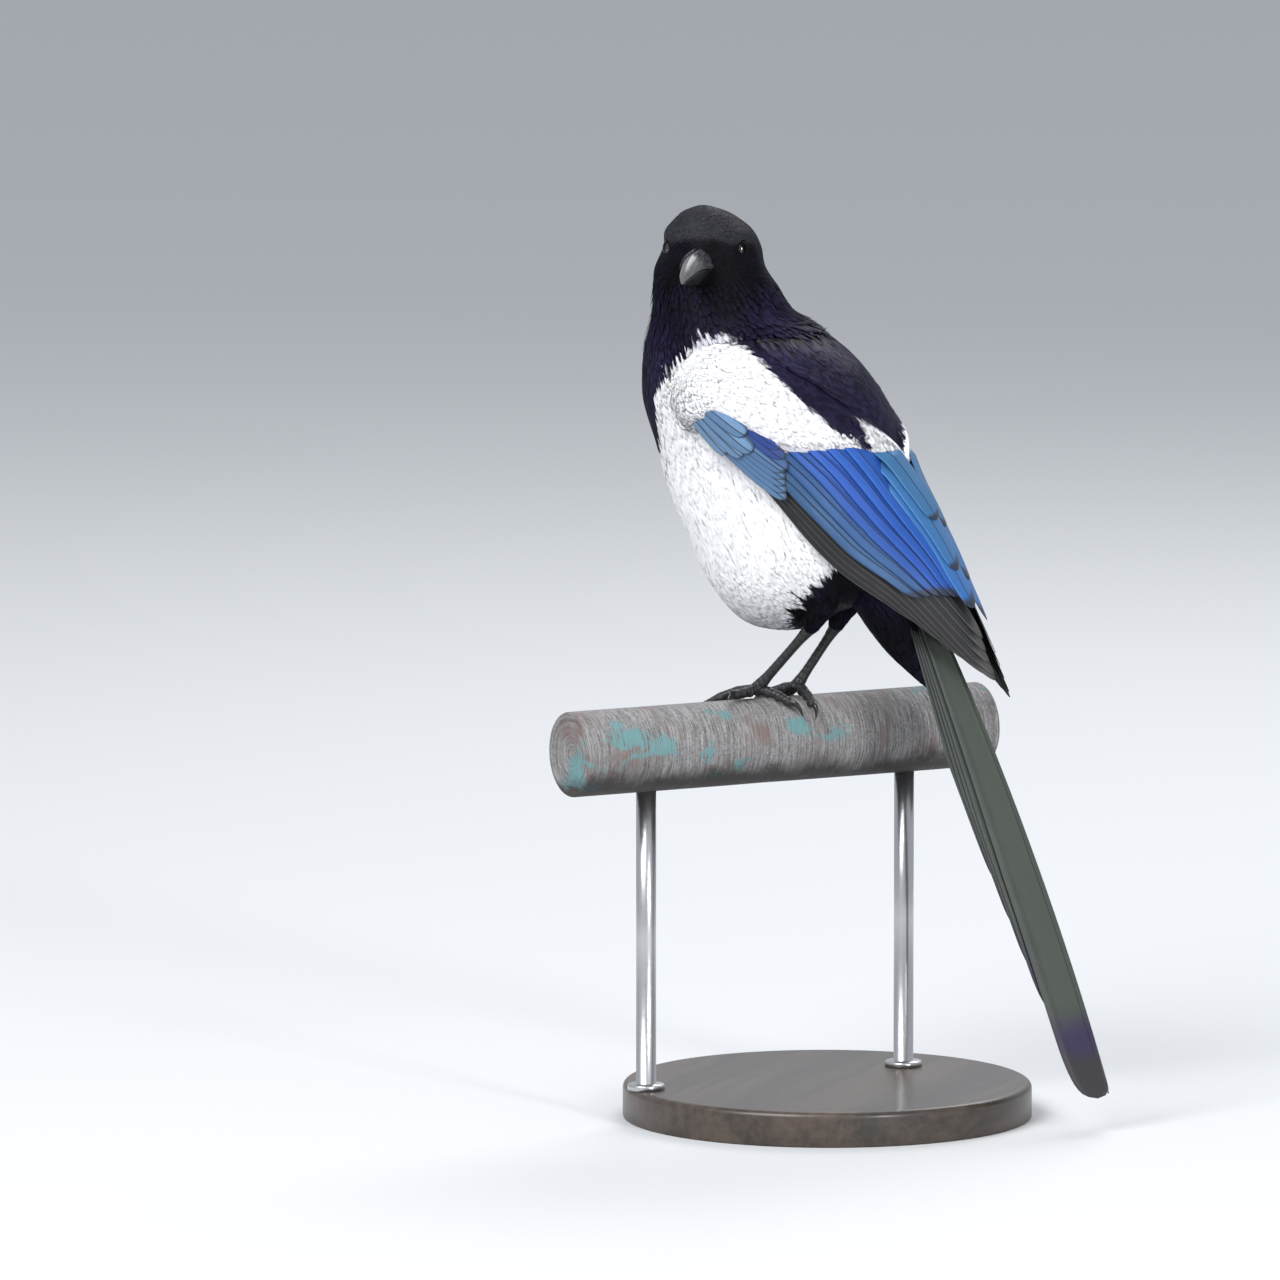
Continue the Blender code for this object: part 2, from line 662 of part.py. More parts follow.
def leg(name, foot_at, ankle, toes, group, finish):
    """A bare leg with its toes and claws round the perch."""
    hub = leg_hub(foot_at)
    path = [hub + (ankle - hub) * share for share in (-0.02, 0.1, 0.35, 0.75, 1.0)]
    core = tube(name, path, (2.6, 2.5, LEG_RADIUS, LEG_RADIUS, 2.5), group, finish, 10)
    pieces = new_collection(name + "_toes")
    for k, (shift, arc, claw_shift, claw_arc) in enumerate(toes):
        path, radii = [], []
        for j in range(TOE_STEPS + 1):
            t = -0.08 + 1.08 * j / TOE_STEPS
            turn = arc * t / (PERCH_RADIUS + TOE_REST)
            path.append(on_perch(foot_at + shift * t, turn, TOE_REST + 0.9 * (1 - t)))
            radii.append(TOE_RADIUS * (1.1 - 0.25 * t) * (1.0 if j % 2 else 0.9))
        tube(f"{name}_toe_{k}", path, radii, pieces, finish, 8)
        claw = []
        for j in range(len(CLAW_RADII)):
            t = j / (len(CLAW_RADII) - 1)
            turn = (arc * 0.93 + claw_arc * t) / (PERCH_RADIUS + TOE_REST)
            rise = TOE_REST + 1.6 * sin(pi * t) - 0.9 * t
            claw.append(on_perch(foot_at + shift * 0.93 + claw_shift * t, turn, rise))
        tube(f"{name}_claw_{k}", claw, CLAW_RADII, pieces, finish, 6)
    fuse(core, pieces)
    return core


def thigh(name, top, foot_at, ankle, torso_shape, group, finish):
    """The feathered thigh, from inside the belly down to the bare leg's flat top."""
    along = (ankle - leg_hub(foot_at)).normalized()
    cuff = ankle + along * (GAP + 4.0)
    path = [top, top + (cuff - top) * 0.35, top + (cuff - top) * 0.75, cuff, ankle + along * GAP]
    made = tube(name, path, (9.0, 10.0, 8.6, 6.2, 3.2), group, finish, 14)
    apply_boolean(made, "DIFFERENCE", cutter=torso_shape)
    return made


def cylinder(name, radius, length, middle, group, finish, sides, axis=None):
    """A cylinder in metres, standing or along an axis."""
    mesh = bpy.data.meshes.new(name)
    bm = bmesh.new()
    bmesh.ops.create_cone(bm, cap_ends=True, segments=sides, radius1=radius * MM,
                          radius2=radius * MM, depth=length * MM)
    bm.to_mesh(mesh)
    bm.free()
    mesh.materials.append(finish)
    made = bpy.data.objects.new(name, mesh)
    made.location = middle
    if axis is not None:
        made.rotation_mode = "QUATERNION"
        made.rotation_quaternion = Vector((0, 0, 1)).rotation_difference(axis)
    group.objects.link(made)
    return made


def build_bird(group, helpers, finishes):
    """Every node of the bird."""
    black, white, blue, horn = (finishes[k] for k in ("black", "white", "blue", "horn"))
    body_piece("torso", BODY_BOTTOM, NECK_FROM - GAP / 2, group, white)
    body_piece("neck", NECK_FROM + GAP / 2, HEAD_FROM - GAP / 2, group, black)
    head = body_piece("head", HEAD_FROM + GAP / 2, BODY_TOP, group, black)

    torso_shape = body_piece("torso_shape", BODY_BOTTOM, NECK_FROM, helpers, white, GAP)
    head_shape = body_piece("head_shape", HEAD_FROM, BODY_TOP, helpers, black, GAP)

    raised = new_collection("raised")
    for side in (1, -1):
        lid_ring(f"lid_{side}", side, raised, black)
    for k in range(BRISTLES):
        bristle(f"bristle_{k}", pi * (0.14 + 0.72 * k / (BRISTLES - 1)), 0.4 + 0.4 * (k % 2),
                raised, black)
    fuse(head, raised)
    for side, word in ((1, "left"), (-1, "right")):
        socket = ball(f"socket_{word}", eye_middle(side), EYE_RADIUS + GAP, helpers, black)
        apply_boolean(head, "DIFFERENCE", cutter=socket)
        ball(f"eye_{word}", eye_middle(side), EYE_RADIUS, group, finishes["eye"])
        corner = mouth_corner(f"mouth_{word}", side, helpers, black)
        apply_boolean(head, "DIFFERENCE", cutter=corner)

    for name, up, profile in (("bill_upper", 1, BILL_UPPER), ("bill_lower", -1, BILL_LOWER)):
        half = bill_half(name, up, profile, group, horn)
        apply_boolean(half, "DIFFERENCE", cutter=head_shape)
        if up > 0:
            for word, turn in (("left", 0.22 * pi), ("right", 0.78 * pi)):
                pit = ball(f"nostril_{word}", bill_point(NOSTRIL_AT, turn, profile, up),
                           NOSTRIL_RADIUS, helpers, horn, 8, 6)
                apply_boolean(half, "DIFFERENCE", cutter=pit)
        shape = bill_half(f"{name}_shape", up, profile, helpers, horn, GAP)
        apply_boolean(head, "DIFFERENCE", cutter=shape)

    for side, word in ((1, "left"), (-1, "right")):
        made = wing(f"wing_{word}", side, group, blue)
        apply_boolean(made, "DIFFERENCE", cutter=torso_shape)
    made = tail("tail", group, finishes["green"])
    apply_boolean(made, "DIFFERENCE", cutter=torso_shape)

    for word, foot_at, top, ankle, toes in (
            ("left", LEFT_FOOT, LEFT_THIGH_TOP, LEFT_ANKLE, LEFT_TOES),
            ("right", RIGHT_FOOT, RIGHT_THIGH_TOP, RIGHT_ANKLE, RIGHT_TOES)):
        thigh(f"thigh_{word}", top, foot_at, ankle, torso_shape, group, black)
        leg(f"leg_{word}", foot_at, ankle, toes, group, finishes["leg"])


def build_stand(group, helpers, finishes):
    """The cut length of tube that the bird grips, and the stand under it."""
    along, _ = perch_directions()
    axis_point = to_world(Vector((0, 0, -PERCH_RADIUS)))
    perch = cylinder("perch", PERCH_RADIUS, PERCH_LENGTH, axis_point, group, finishes["tube"],
                     40, along)
    bevel = perch.modifiers.new("rim", "BEVEL")
    bevel.width = 0.8 * MM
    bevel.segments = 1
    bevel.limit_method = "ANGLE"
    shape = cylinder("perch_shape", PERCH_RADIUS + GAP, PERCH_LENGTH + 4, axis_point, helpers,
                     finishes["tube"], 40, along)
    base = cylinder("stand_base", BASE_RADIUS, BASE_THICKNESS,
                    Vector((0, 0, BASE_THICKNESS * MM / 2)), group, finishes["stand"], 48)
    bevel = base.modifiers.new("edge", "BEVEL")
    bevel.width = BASE_BEVEL * MM
    bevel.segments = 2
    bevel.limit_method = "ANGLE"
    bottom = BASE_THICKNESS + GAP
    top = PERCH_TOP - 2 * PERCH_RADIUS + 3.0
    for word, place in (("front", -ROD_SPACING / 2), ("back", ROD_SPACING / 2)):
        middle = to_world(along * place)
        middle.z = (bottom + top) / 2 * MM
        rod = cylinder(f"stand_rod_{word}", ROD_RADIUS, top - bottom, middle, group,
                       finishes["rod"], 20)
        cut = rod.modifiers.new("saddle", "BOOLEAN")
        cut.operation = "DIFFERENCE"
        cut.object = shape


def main():
    """Build the model."""
    clear_scene()
    group = new_collection("magpie")
    helpers = new_collection("cutters")
    finishes = {
        "black": material("black_plumage", (0.012, 0.013, 0.02), 0.45),
        "white": material("white_plumage", (0.80, 0.79, 0.80), 0.8),
        "blue": material("wing_plumage", (0.02, 0.10, 0.30), 0.35),
        "green": material("tail_plumage", (0.03, 0.09, 0.08), 0.35),
        "horn": material("bill_horn", (0.03, 0.03, 0.035), 0.3),
        "eye": material("eye_brown", (0.02, 0.012, 0.008), 0.08),
        "leg": material("leg_scale", (0.03, 0.03, 0.035), 0.45),
        "tube": material("weathered_tube", (0.36, 0.34, 0.33), 0.6, 0.3),
        "stand": material("stand_board", (0.10, 0.09, 0.085), 0.5),
        "rod": material("stand_steel", (0.55, 0.55, 0.56), 0.3, 1.0),
    }
    build_bird(group, helpers, finishes)
    build_stand(group, helpers, finishes)
    for cutter in helpers.objects:
        cutter.hide_render = True
        cutter.display_type = "WIRE"


main()
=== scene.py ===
"""Display model of a perched Eurasian magpie: skin, plumage, flight feathers, bill, eyes, feet and stand.

The bird faces -Y and its left side is +X.  Its own sizes are millimetres measured from the point on top
of the perch between the feet, and are turned into metres in the model's frame where a mesh is made.
"""

import logging
from collections.abc import Callable, Sequence
from dataclasses import dataclass, field
from enum import Enum
from math import cos, hypot, pi, radians, sin

import bpy
import numpy as np
from mathutils import Matrix, Vector


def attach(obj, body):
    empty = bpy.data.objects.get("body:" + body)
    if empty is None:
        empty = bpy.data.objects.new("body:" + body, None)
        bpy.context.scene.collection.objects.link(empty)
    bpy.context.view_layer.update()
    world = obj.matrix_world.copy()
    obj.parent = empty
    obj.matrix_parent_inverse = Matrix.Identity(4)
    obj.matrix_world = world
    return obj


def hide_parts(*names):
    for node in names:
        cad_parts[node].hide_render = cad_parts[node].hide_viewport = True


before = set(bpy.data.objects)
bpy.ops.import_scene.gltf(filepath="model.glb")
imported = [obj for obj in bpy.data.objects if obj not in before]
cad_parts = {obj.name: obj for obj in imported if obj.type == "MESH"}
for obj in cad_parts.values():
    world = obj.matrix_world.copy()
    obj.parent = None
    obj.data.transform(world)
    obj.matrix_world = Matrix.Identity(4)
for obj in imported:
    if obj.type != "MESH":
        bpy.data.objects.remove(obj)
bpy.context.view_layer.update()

LOG = logging.getLogger("magpie")
Array = np.ndarray

MM = 0.001
PERCH_RADIUS = 17.0
PERCH_LENGTH = 190.0
PERCH_TOP = 168.0
PERCH_TURN = radians(140.0)
FEET_FROM_CENTRE = -22.0
GAP = 0.3
ORIGIN = np.array((0.0, FEET_FROM_CENTRE, PERCH_TOP))
UP = np.array((0.0, 0.0, 1.0))
ATLAS_PATCH = 0.003


def to_world(points: Array) -> Array:
    """Turn points measured from the feet, in mm, into metres in the model's frame.

    Args:
        points: Coordinates in mm, the last axis being X, Y, Z.

    Returns:
        The same points in metres.
    """
    return (np.asarray(points, dtype=float) + ORIGIN) * MM


def from_world(points: Array) -> Array:
    """Turn points in metres back into mm measured from the feet."""
    return np.asarray(points, dtype=float) / MM - ORIGIN


def unit(vectors: Array) -> Array:
    """Scale vectors to length one."""
    lengths = np.linalg.norm(vectors, axis=-1, keepdims=True)
    return vectors / np.maximum(lengths, 1e-9)


def smooth_step(low: float, high: float, values: Array) -> Array:
    """Rise smoothly from 0 at low to 1 at high.

    Args:
        low: Where the rise starts.
        high: Where the rise ends.
        values: The places to read.

    Returns:
        The share for each value.
    """
    share = np.clip((np.asarray(values, dtype=float) - low) / (high - low), 0.0, 1.0)
    return share * share * (3.0 - 2.0 * share)


def smooth_max(a: Array, b: Array, softness: float) -> Array:
    """The larger of two lengths, with a soft change from one to the other."""
    return (a + b + np.sqrt((a - b) ** 2 + softness ** 2)) / 2.0


def read_table(rows: Sequence[Sequence[float]], places: Array) -> Array:
    """Read a table on a smooth curve through its rows.

    Args:
        rows: Rows of place and values, sorted by place.
        places: Where to read it.

    Returns:
        One row of values for each place.
    """
    table = np.asarray(rows, dtype=float)
    keys, values = table[:, 0], table[:, 1:]
    places = np.clip(np.asarray(places, dtype=float), keys[0], keys[-1])
    k = np.clip(np.searchsorted(keys, places, side="right") - 1, 0, len(keys) - 2)
    before, after = np.maximum(k - 1, 0), np.minimum(k + 2, len(keys) - 1)
    span = (keys[k + 1] - keys[k])[..., None]
    t = (places - keys[k])[..., None] / span
    slope_in = (values[k + 1] - values[before]) / (keys[k + 1] - keys[before])[..., None] * span
    slope_out = (values[after] - values[k]) / (keys[after] - keys[k])[..., None] * span
    return ((2 * t ** 3 - 3 * t ** 2 + 1) * values[k] + (t ** 3 - 2 * t ** 2 + t) * slope_in
            + (-2 * t ** 3 + 3 * t ** 2) * values[k + 1] + (t ** 3 - t ** 2) * slope_out)


# ---- shader maths


class Wire:
    """A shader value that adds Math nodes when it is used in an expression."""

    def __init__(self, book: "ShaderBook", socket: bpy.types.NodeSocket) -> None:
        """Keep the tree's book and the output socket."""
        self.book = book
        self.socket = socket

    def _math(self, operation: str, *terms: object) -> "Wire":
        """Add one Math node.

        Args:
            operation: The node's operation.
            terms: Its two or three inputs.

        Returns:
            The node's result.
        """
        return self.book.node("ShaderNodeMath", {"operation": operation}, dict(enumerate(terms)))

    def __add__(self, other: object) -> "Wire":
        """Sum of two values."""
        return self._math("ADD", self, other)

    def __radd__(self, other: object) -> "Wire":
        """Sum, with the plain number first."""
        return self._math("ADD", other, self)

    def __sub__(self, other: object) -> "Wire":
        """Difference of two values."""
        return self._math("SUBTRACT", self, other)

    def __rsub__(self, other: object) -> "Wire":
        """Difference, with the plain number first."""
        return self._math("SUBTRACT", other, self)

    def __mul__(self, other: object) -> "Wire":
        """Product of two values."""
        return self._math("MULTIPLY", self, other)

    def __rmul__(self, other: object) -> "Wire":
        """Product, with the plain number first."""
        return self._math("MULTIPLY", other, self)

    def __truediv__(self, other: object) -> "Wire":
        """Quotient of two values."""
        return self._math("DIVIDE", self, other)

    def __pow__(self, other: object) -> "Wire":
        """Power of a value."""
        return self._math("POWER", self, other)

    def __neg__(self) -> "Wire":
        """The value with its sign changed."""
        return self._math("MULTIPLY", self, -1.0)

    def sine(self) -> "Wire":
        """Sine of the value."""
        return self._math("SINE", self)

    def size(self) -> "Wire":
        """The value without its sign."""
        return self._math("ABSOLUTE", self)

    def rise(self, low: float, high: float) -> "Wire":
        """Smooth rise from 0 at low to 1 at high.

        Args:
            low: Where the rise starts.
            high: Where the rise ends.

        Returns:
            The share.
        """
        settings = {"interpolation_type": "SMOOTHSTEP", "clamp": True}
        values = {"Value": self, "From Min": low, "From Max": high}
        return self.book.node("ShaderNodeMapRange", settings, values)


class ShaderBook:
    """One material's node tree, with short calls for what the finishes use."""

    def __init__(self, name: str) -> None:
        """Start a material with only its output."""
        self.material = bpy.data.materials.new(name)
        self.material.use_nodes = True
        self.tree = self.material.node_tree
        self.tree.nodes.clear()
        self.output = self.tree.nodes.new("ShaderNodeOutputMaterial")

    def node(self, kind: str, settings: dict | None = None, values: dict | None = None,
             result: int | str = 0) -> Wire:
        """Add a node.

        Args:
            kind: The node's type.
            settings: Properties to set first.
            values: Socket name or number to a value, colour or Wire.
            result: Which output to hand back.

        Returns:
            The chosen output.
        """
        made = self.tree.nodes.new(kind)
        for key, value in (settings or {}).items():
            setattr(made, key, value)
        for key, value in (values or {}).items():
            socket = made.inputs[key]
            if isinstance(value, Wire):
                self.tree.links.new(value.socket, socket)
            elif isinstance(value, tuple) and len(value) == 3 and socket.type == "RGBA":
                socket.default_value = (*value, 1.0)
            else:
                socket.default_value = value
        return Wire(self, made.outputs[result])

    def attribute(self, name: str, part: str = "Fac") -> Wire:
        """Read one of the mesh's own attributes."""
        return self.node("ShaderNodeAttribute", {"attribute_name": name}, result=part)

    def place(self) -> Wire:
        """Object coordinates, which are the model's own metres."""
        return self.node("ShaderNodeTexCoord", result="Object")

    def scaled(self, vector: Wire, scale: tuple[float, float, float]) -> Wire:
        """Stretch a vector by a constant on each axis."""
        return self.node("ShaderNodeVectorMath", {"operation": "MULTIPLY"}, {0: vector, 1: scale})

    def split(self, vector: Wire) -> list[Wire]:
        """The three numbers of a vector."""
        made = self.node("ShaderNodeSeparateXYZ", values={0: vector})
        return [Wire(self, output) for output in made.socket.node.outputs]

    def noise(self, vector: Wire, scale: float, detail: float = 2.0, roughness: float = 0.5) -> Wire:
        """Fractal noise about 0.5.

        Args:
            vector: Where it is read.
            scale: Its fineness.
            detail: Number of finer layers.
            roughness: Strength of the finer layers.

        Returns:
            The noise value.
        """
        values = {"Vector": vector, "Scale": scale, "Detail": detail, "Roughness": roughness}
        return self.node("ShaderNodeTexNoise", values=values)

    def mix(self, share: object, first: object, second: object, blend: str = "MIX") -> Wire:
        """Mix two colours.

        Args:
            share: How much of the second, from 0 to 1.
            first: A colour or Wire.
            second: A colour or Wire.
            blend: The blend mode.

        Returns:
            The mixed colour.
        """
        settings = {"data_type": "RGBA", "blend_type": blend}
        return self.node("ShaderNodeMix", settings, {0: share, 6: first, 7: second}, result=2)

    def bump(self, height: Wire, distance: float, strength: float = 1.0,
             normal: Wire | None = None) -> Wire:
        """Turn a height into a normal.

        Args:
            height: The height, 0 to 1.
            distance: What 1 stands for, in metres.
            strength: Share of the effect.
            normal: The normal it starts from.

        Returns:
            The bumped normal.
        """
        values = {"Strength": strength, "Distance": distance, "Height": height}
        if normal is not None:
            values["Normal"] = normal
        return self.node("ShaderNodeBump", values=values)

    def finish(self, colour: object, roughness: object, metallic: object = 0.0,
               normal: Wire | None = None, **constants: object) -> bpy.types.Material:
        """Close the material with one Principled shader.

        Args:
            colour: Base colour or Wire.
            roughness: Roughness or Wire.
            metallic: Metallic or Wire.
            normal: The shading normal, if it isn't the mesh's own.
            constants: Other socket names, with underscores, to what they hold.

        Returns:
            The finished material.
        """
        values = {"Base Color": colour, "Roughness": roughness, "Metallic": metallic}
        if normal is not None:
            values["Normal"] = normal
        values.update({key.replace("_", " "): value for key, value in constants.items()})
        shader = self.node("ShaderNodeBsdfPrincipled", values=values)
        self.tree.links.new(shader.socket, self.output.inputs["Surface"])
        return self.material


# ---- meshes and pieces


def solid_mesh(name: str, points: Array, faces: Array, smooth: bool = True) -> bpy.types.Mesh:
    """Make a mesh from metres and equal-sided faces.

    Args:
        name: The mesh's name.
        points: Vertices, in metres.
        faces: Vertex numbers, one row for each face.
        smooth: Whether its faces are shaded smooth.

    Returns:
        The mesh.
    """
    mesh = bpy.data.meshes.new(name)
    sides = faces.shape[1]
    mesh.vertices.add(len(points))
    mesh.vertices.foreach_set("co", np.ascontiguousarray(points, dtype=np.float32).ravel())
    mesh.loops.add(faces.size)
    mesh.loops.foreach_set("vertex_index", np.ascontiguousarray(faces, dtype=np.int32).ravel())
    mesh.polygons.add(len(faces))
    mesh.polygons.foreach_set("loop_start", np.arange(0, faces.size, sides, dtype=np.int32))
    mesh.update(calc_edges=True)
    mesh.polygons.foreach_set("use_smooth", np.full(len(faces), smooth))
    return mesh


def put(mesh: bpy.types.Mesh, name: str, kind: str, domain: str, values: Array) -> None:
    """Store an attribute on a mesh.

    Args:
        mesh: The mesh.
        name: The attribute's name.
        kind: Its data type.
        domain: POINT, FACE or CORNER.
        values: One value or vector for each element.
    """
    key = {"FLOAT": "value", "INT": "value"}.get(kind, "vector")
    made = mesh.attributes.new(name, kind, domain)
    made.data.foreach_set(key, np.ascontiguousarray(values).ravel())


def as_object(mesh: bpy.types.Mesh, *materials: bpy.types.Material) -> bpy.types.Object:
    """Put a mesh into the scene with its materials."""
    made = bpy.data.objects.new(mesh.name, mesh)
    bpy.context.scene.collection.objects.link(made)
    for material in materials:
        mesh.materials.append(material)
    return made


def register(piece: bpy.types.Object, slot: str, *nodes: str) -> None:
    """Hang a finished piece on the root, hide the solids that it stands for and log its triangle count.

    Args:
        piece: The finished piece.
        slot: Not used.
        nodes: The solids that it takes the place of.
    """
    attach(piece, "root")
    if nodes:
        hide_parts(*nodes)
    count = sum(len(face.vertices) - 2 for face in piece.data.polygons)
    LOG.info("%s: %d triangles", piece.name, count)


def evaluated_copy(thing: bpy.types.Object, name: str) -> bpy.types.Mesh:
    """Bake an object's live modifiers into a plain mesh, and drop the modifiers.

    Args:
        thing: The object.
        name: The new mesh's name.

    Returns:
        The plain mesh.
    """
    bpy.context.view_layer.update()
    whole = thing.evaluated_get(bpy.context.evaluated_depsgraph_get())
    mesh = bpy.data.meshes.new_from_object(whole, preserve_all_data_layers=True,
                                           depsgraph=bpy.context.evaluated_depsgraph_get())
    mesh.name = name
    thing.modifiers.clear()
    return mesh


def drop(*things: bpy.types.Object) -> None:
    """Remove objects that only served to make others."""
    for thing in things:
        bpy.data.objects.remove(thing, do_unlink=True)


def union(core: bpy.types.Object, *others: bpy.types.Object, name: str) -> bpy.types.Object:
    """Join closed objects into one closed object.

    Args:
        core: The object to keep.
        others: What is joined to it and then removed.
        name: The new mesh's name.

    Returns:
        The joined object.
    """
    for other in others:
        cut = core.modifiers.new("join", "BOOLEAN")
        cut.operation = "UNION"
        cut.solver = "MANIFOLD"
        cut.object = other
    core.data = evaluated_copy(core, name)
    drop(*others)
    core.name = name
    return core


def tube_rings(path: Array, radii: Sequence[float], sides: int, flat: float = 1.0,
               up: Array = UP) -> Array:
    """Rings of points round a path.

    Args:
        path: Points along its middle.
        radii: The radius at each point.
        sides: Points in a ring.
        flat: Height of a ring as a share of its width.
        up: The direction that the rings' height follows.

    Returns:
        An array of rings of points.
    """
    along = unit(np.gradient(path, axis=0))
    across = unit(np.cross(along, up))
    above = unit(np.cross(across, along))
    turns = np.linspace(0, 2 * pi, sides, endpoint=False)
    radii = np.asarray(radii, dtype=float)[:, None, None]
    return (path[:, None] + across[:, None] * np.cos(turns)[None, :, None] * radii
            + above[:, None] * np.sin(turns)[None, :, None] * radii * flat)


def ring_shell(rings: Array, poles: tuple[Array | None, Array | None] = (None, None)) -> tuple[Array,
                                                                                               Array]:
    """Close a surface over rings of points.

    Args:
        rings: Rings of equal count.
        poles: The two end points, or None for the middle of a ring.

    Returns:
        Its points and triangles, facing outwards.
    """
    count, sides = rings.shape[:2]
    c = np.arange(sides)
    d = (c + 1) % sides
    walls = [np.stack((r * sides + c, r * sides + d, (r + 1) * sides + d, (r + 1) * sides + c), 1)
             for r in range(count - 1)]
    quads = np.concatenate(walls)
    ends = [rings[0].mean(0) if poles[0] is None else poles[0],
            rings[-1].mean(0) if poles[1] is None else poles[1]]
    points = np.concatenate((rings.reshape(-1, 3), np.array(ends)))
    low = np.stack((np.full(sides, len(points) - 2), d, c), 1)
    high = np.stack((np.full(sides, len(points) - 1), (count - 1) * sides + c,
                     (count - 1) * sides + d), 1)
    triangles = np.concatenate((quads[:, (0, 1, 2)], quads[:, (0, 2, 3)], low, high))
    if signed_volume(points, triangles) < 0:
        triangles = triangles[:, ::-1]
    return points, triangles


def ring_mesh(name: str, rings: Array,
              poles: tuple[Array | None, Array | None] = (None, None)) -> bpy.types.Mesh:
    """Make a closed mesh over rings of points in mm."""
    points, triangles = ring_shell(rings, poles)
    return solid_mesh(name, to_world(points), triangles)


class Bundle:
    """Closed shells gathered into one mesh, with attributes on their points."""

    def __init__(self, name: str) -> None:
        """Start an empty bundle with the finished piece's name."""
        self.name = name
        self.points: list[Array] = []
        self.faces: list[Array] = []
        self.values: dict[str, list[Array]] = {}
        self.count = 0

    def add(self, points: Array, triangles: Array, **values: Array) -> None:
        """Add a closed shell.

        Args:
            points: Its points, in mm.
            triangles: Its triangles, facing outwards.
            values: Attribute names to one value or vector for each point.
        """
        self.points.append(points)
        self.faces.append(triangles + self.count)
        self.count += len(points)
        for key, value in values.items():
            self.values.setdefault(key, []).append(np.asarray(value, dtype=np.float32))

    def add_rings(self, rings: Array, **grids: Array) -> None:
        """Add a closed shell over rings, with grids of values on them."""
        points, triangles = ring_shell(rings)
        values = {}
        for key, grid in grids.items():
            ends = np.stack((grid[0].mean(0), grid[-1].mean(0)))
            values[key] = np.concatenate((grid.reshape((-1,) + grid.shape[2:]), ends))
        self.add(points, triangles, **values)

    def add_torus(self, rings: Array, **grids: Array) -> None:
        """Add a shell over rings whose last meets its first, with grids of values on them."""
        count, sides = rings.shape[:2]
        index = np.arange(count * sides).reshape(count, sides)
        ahead, beside = np.roll(index, -1, 0), np.roll(index, -1, 1)
        corner = np.roll(ahead, -1, 1)
        quads = np.stack((index, beside, corner, ahead), -1).reshape(-1, 4)
        triangles = np.concatenate((quads[:, (0, 1, 2)], quads[:, (0, 2, 3)]))
        points = rings.reshape(-1, 3)
        if signed_volume(points, triangles) < 0:
            triangles = triangles[:, ::-1]
        self.add(points, triangles, **{key: grid.reshape((-1,) + grid.shape[2:])
                                       for key, grid in grids.items()})

    def add_strand(self, path: Array, out: Array, width: float, place: tuple[float, float],
                   **constants: float) -> None:
        """Add a thin tapered strand of three sides.

        Args:
            path: Points along it, in mm.
            out: Which way its back faces, at each point.
            width: Its greatest width.
            place: Its root's place on the atlas.
            constants: Attribute names to plain numbers.
        """
        along = unit(np.gradient(path, axis=0))
        across = unit(np.cross(along, out))
        t = np.linspace(0.0, 1.0, len(path))
        half = width / 2 * (0.7 + 0.9 * t - 1.52 * t ** 2)
        rings = np.stack((path - across * half[:, None], path + across * half[:, None],
                          path + out * half[:, None] * 0.7), 1)
        patch = np.array(place) + ATLAS_PATCH * np.stack((t - 0.5, 0.0 * t), 1)
        grids = {key: np.full((len(path), 3), value) for key, value in constants.items()}
        self.add_rings(rings, along=np.repeat(t[:, None], 3, 1),
                       skin_normal=np.repeat(out[:, None], 3, 1),
                       atlas=np.repeat(patch[:, None], 3, 1), **grids)

    def build(self, finish: bpy.types.Material) -> bpy.types.Object:
        """Make the piece.

        Args:
            finish: Its material.

        Returns:
            The finished object.
        """
        faces = np.concatenate(self.faces)
        mesh = solid_mesh(self.name, to_world(np.concatenate(self.points)), faces)
        for key, blocks in self.values.items():
            values = np.concatenate(blocks)
            if key == "atlas":
                layer = mesh.uv_layers.new(name="OFBake")
                layer.uv.foreach_set("vector", np.ascontiguousarray(values[faces.ravel()]).ravel())
            else:
                put(mesh, key, "FLOAT" if values.ndim == 1 else "FLOAT_VECTOR", "POINT", values)
        return as_object(mesh, finish)


def signed_volume(points: Array, triangles: Array) -> float:
    """Volume inside a closed surface, negative where its faces look in."""
    middle = points.mean(0)
    a, b, c = (points[triangles[:, k]] - middle for k in range(3))
    return float(np.einsum("ij,ij->i", a, np.cross(b, c)).sum())


def turned(profile: Sequence[tuple[float, float]], middle: Array, axis: Array, sides: int) -> Array:
    """Rings of a turned form.

    Args:
        profile: Rows of place along the axis and radius.
        middle: Where the axis starts.
        axis: The axis's direction.
        sides: Points in a ring.

    Returns:
        An array of rings of points.
    """
    axis = unit(np.asarray(axis, dtype=float))
    spare = UP if abs(axis[2]) < 0.9 else np.array((1.0, 0.0, 0.0))
    across = unit(np.cross(spare, axis))
    other = np.cross(axis, across)
    turns = np.linspace(0, 2 * pi, sides, endpoint=False)[:, None]
    spoke = across * np.cos(turns) + other * np.sin(turns)
    return np.stack([middle + axis * place + spoke * radius for place, radius in profile])


# ---- the body's form and markings


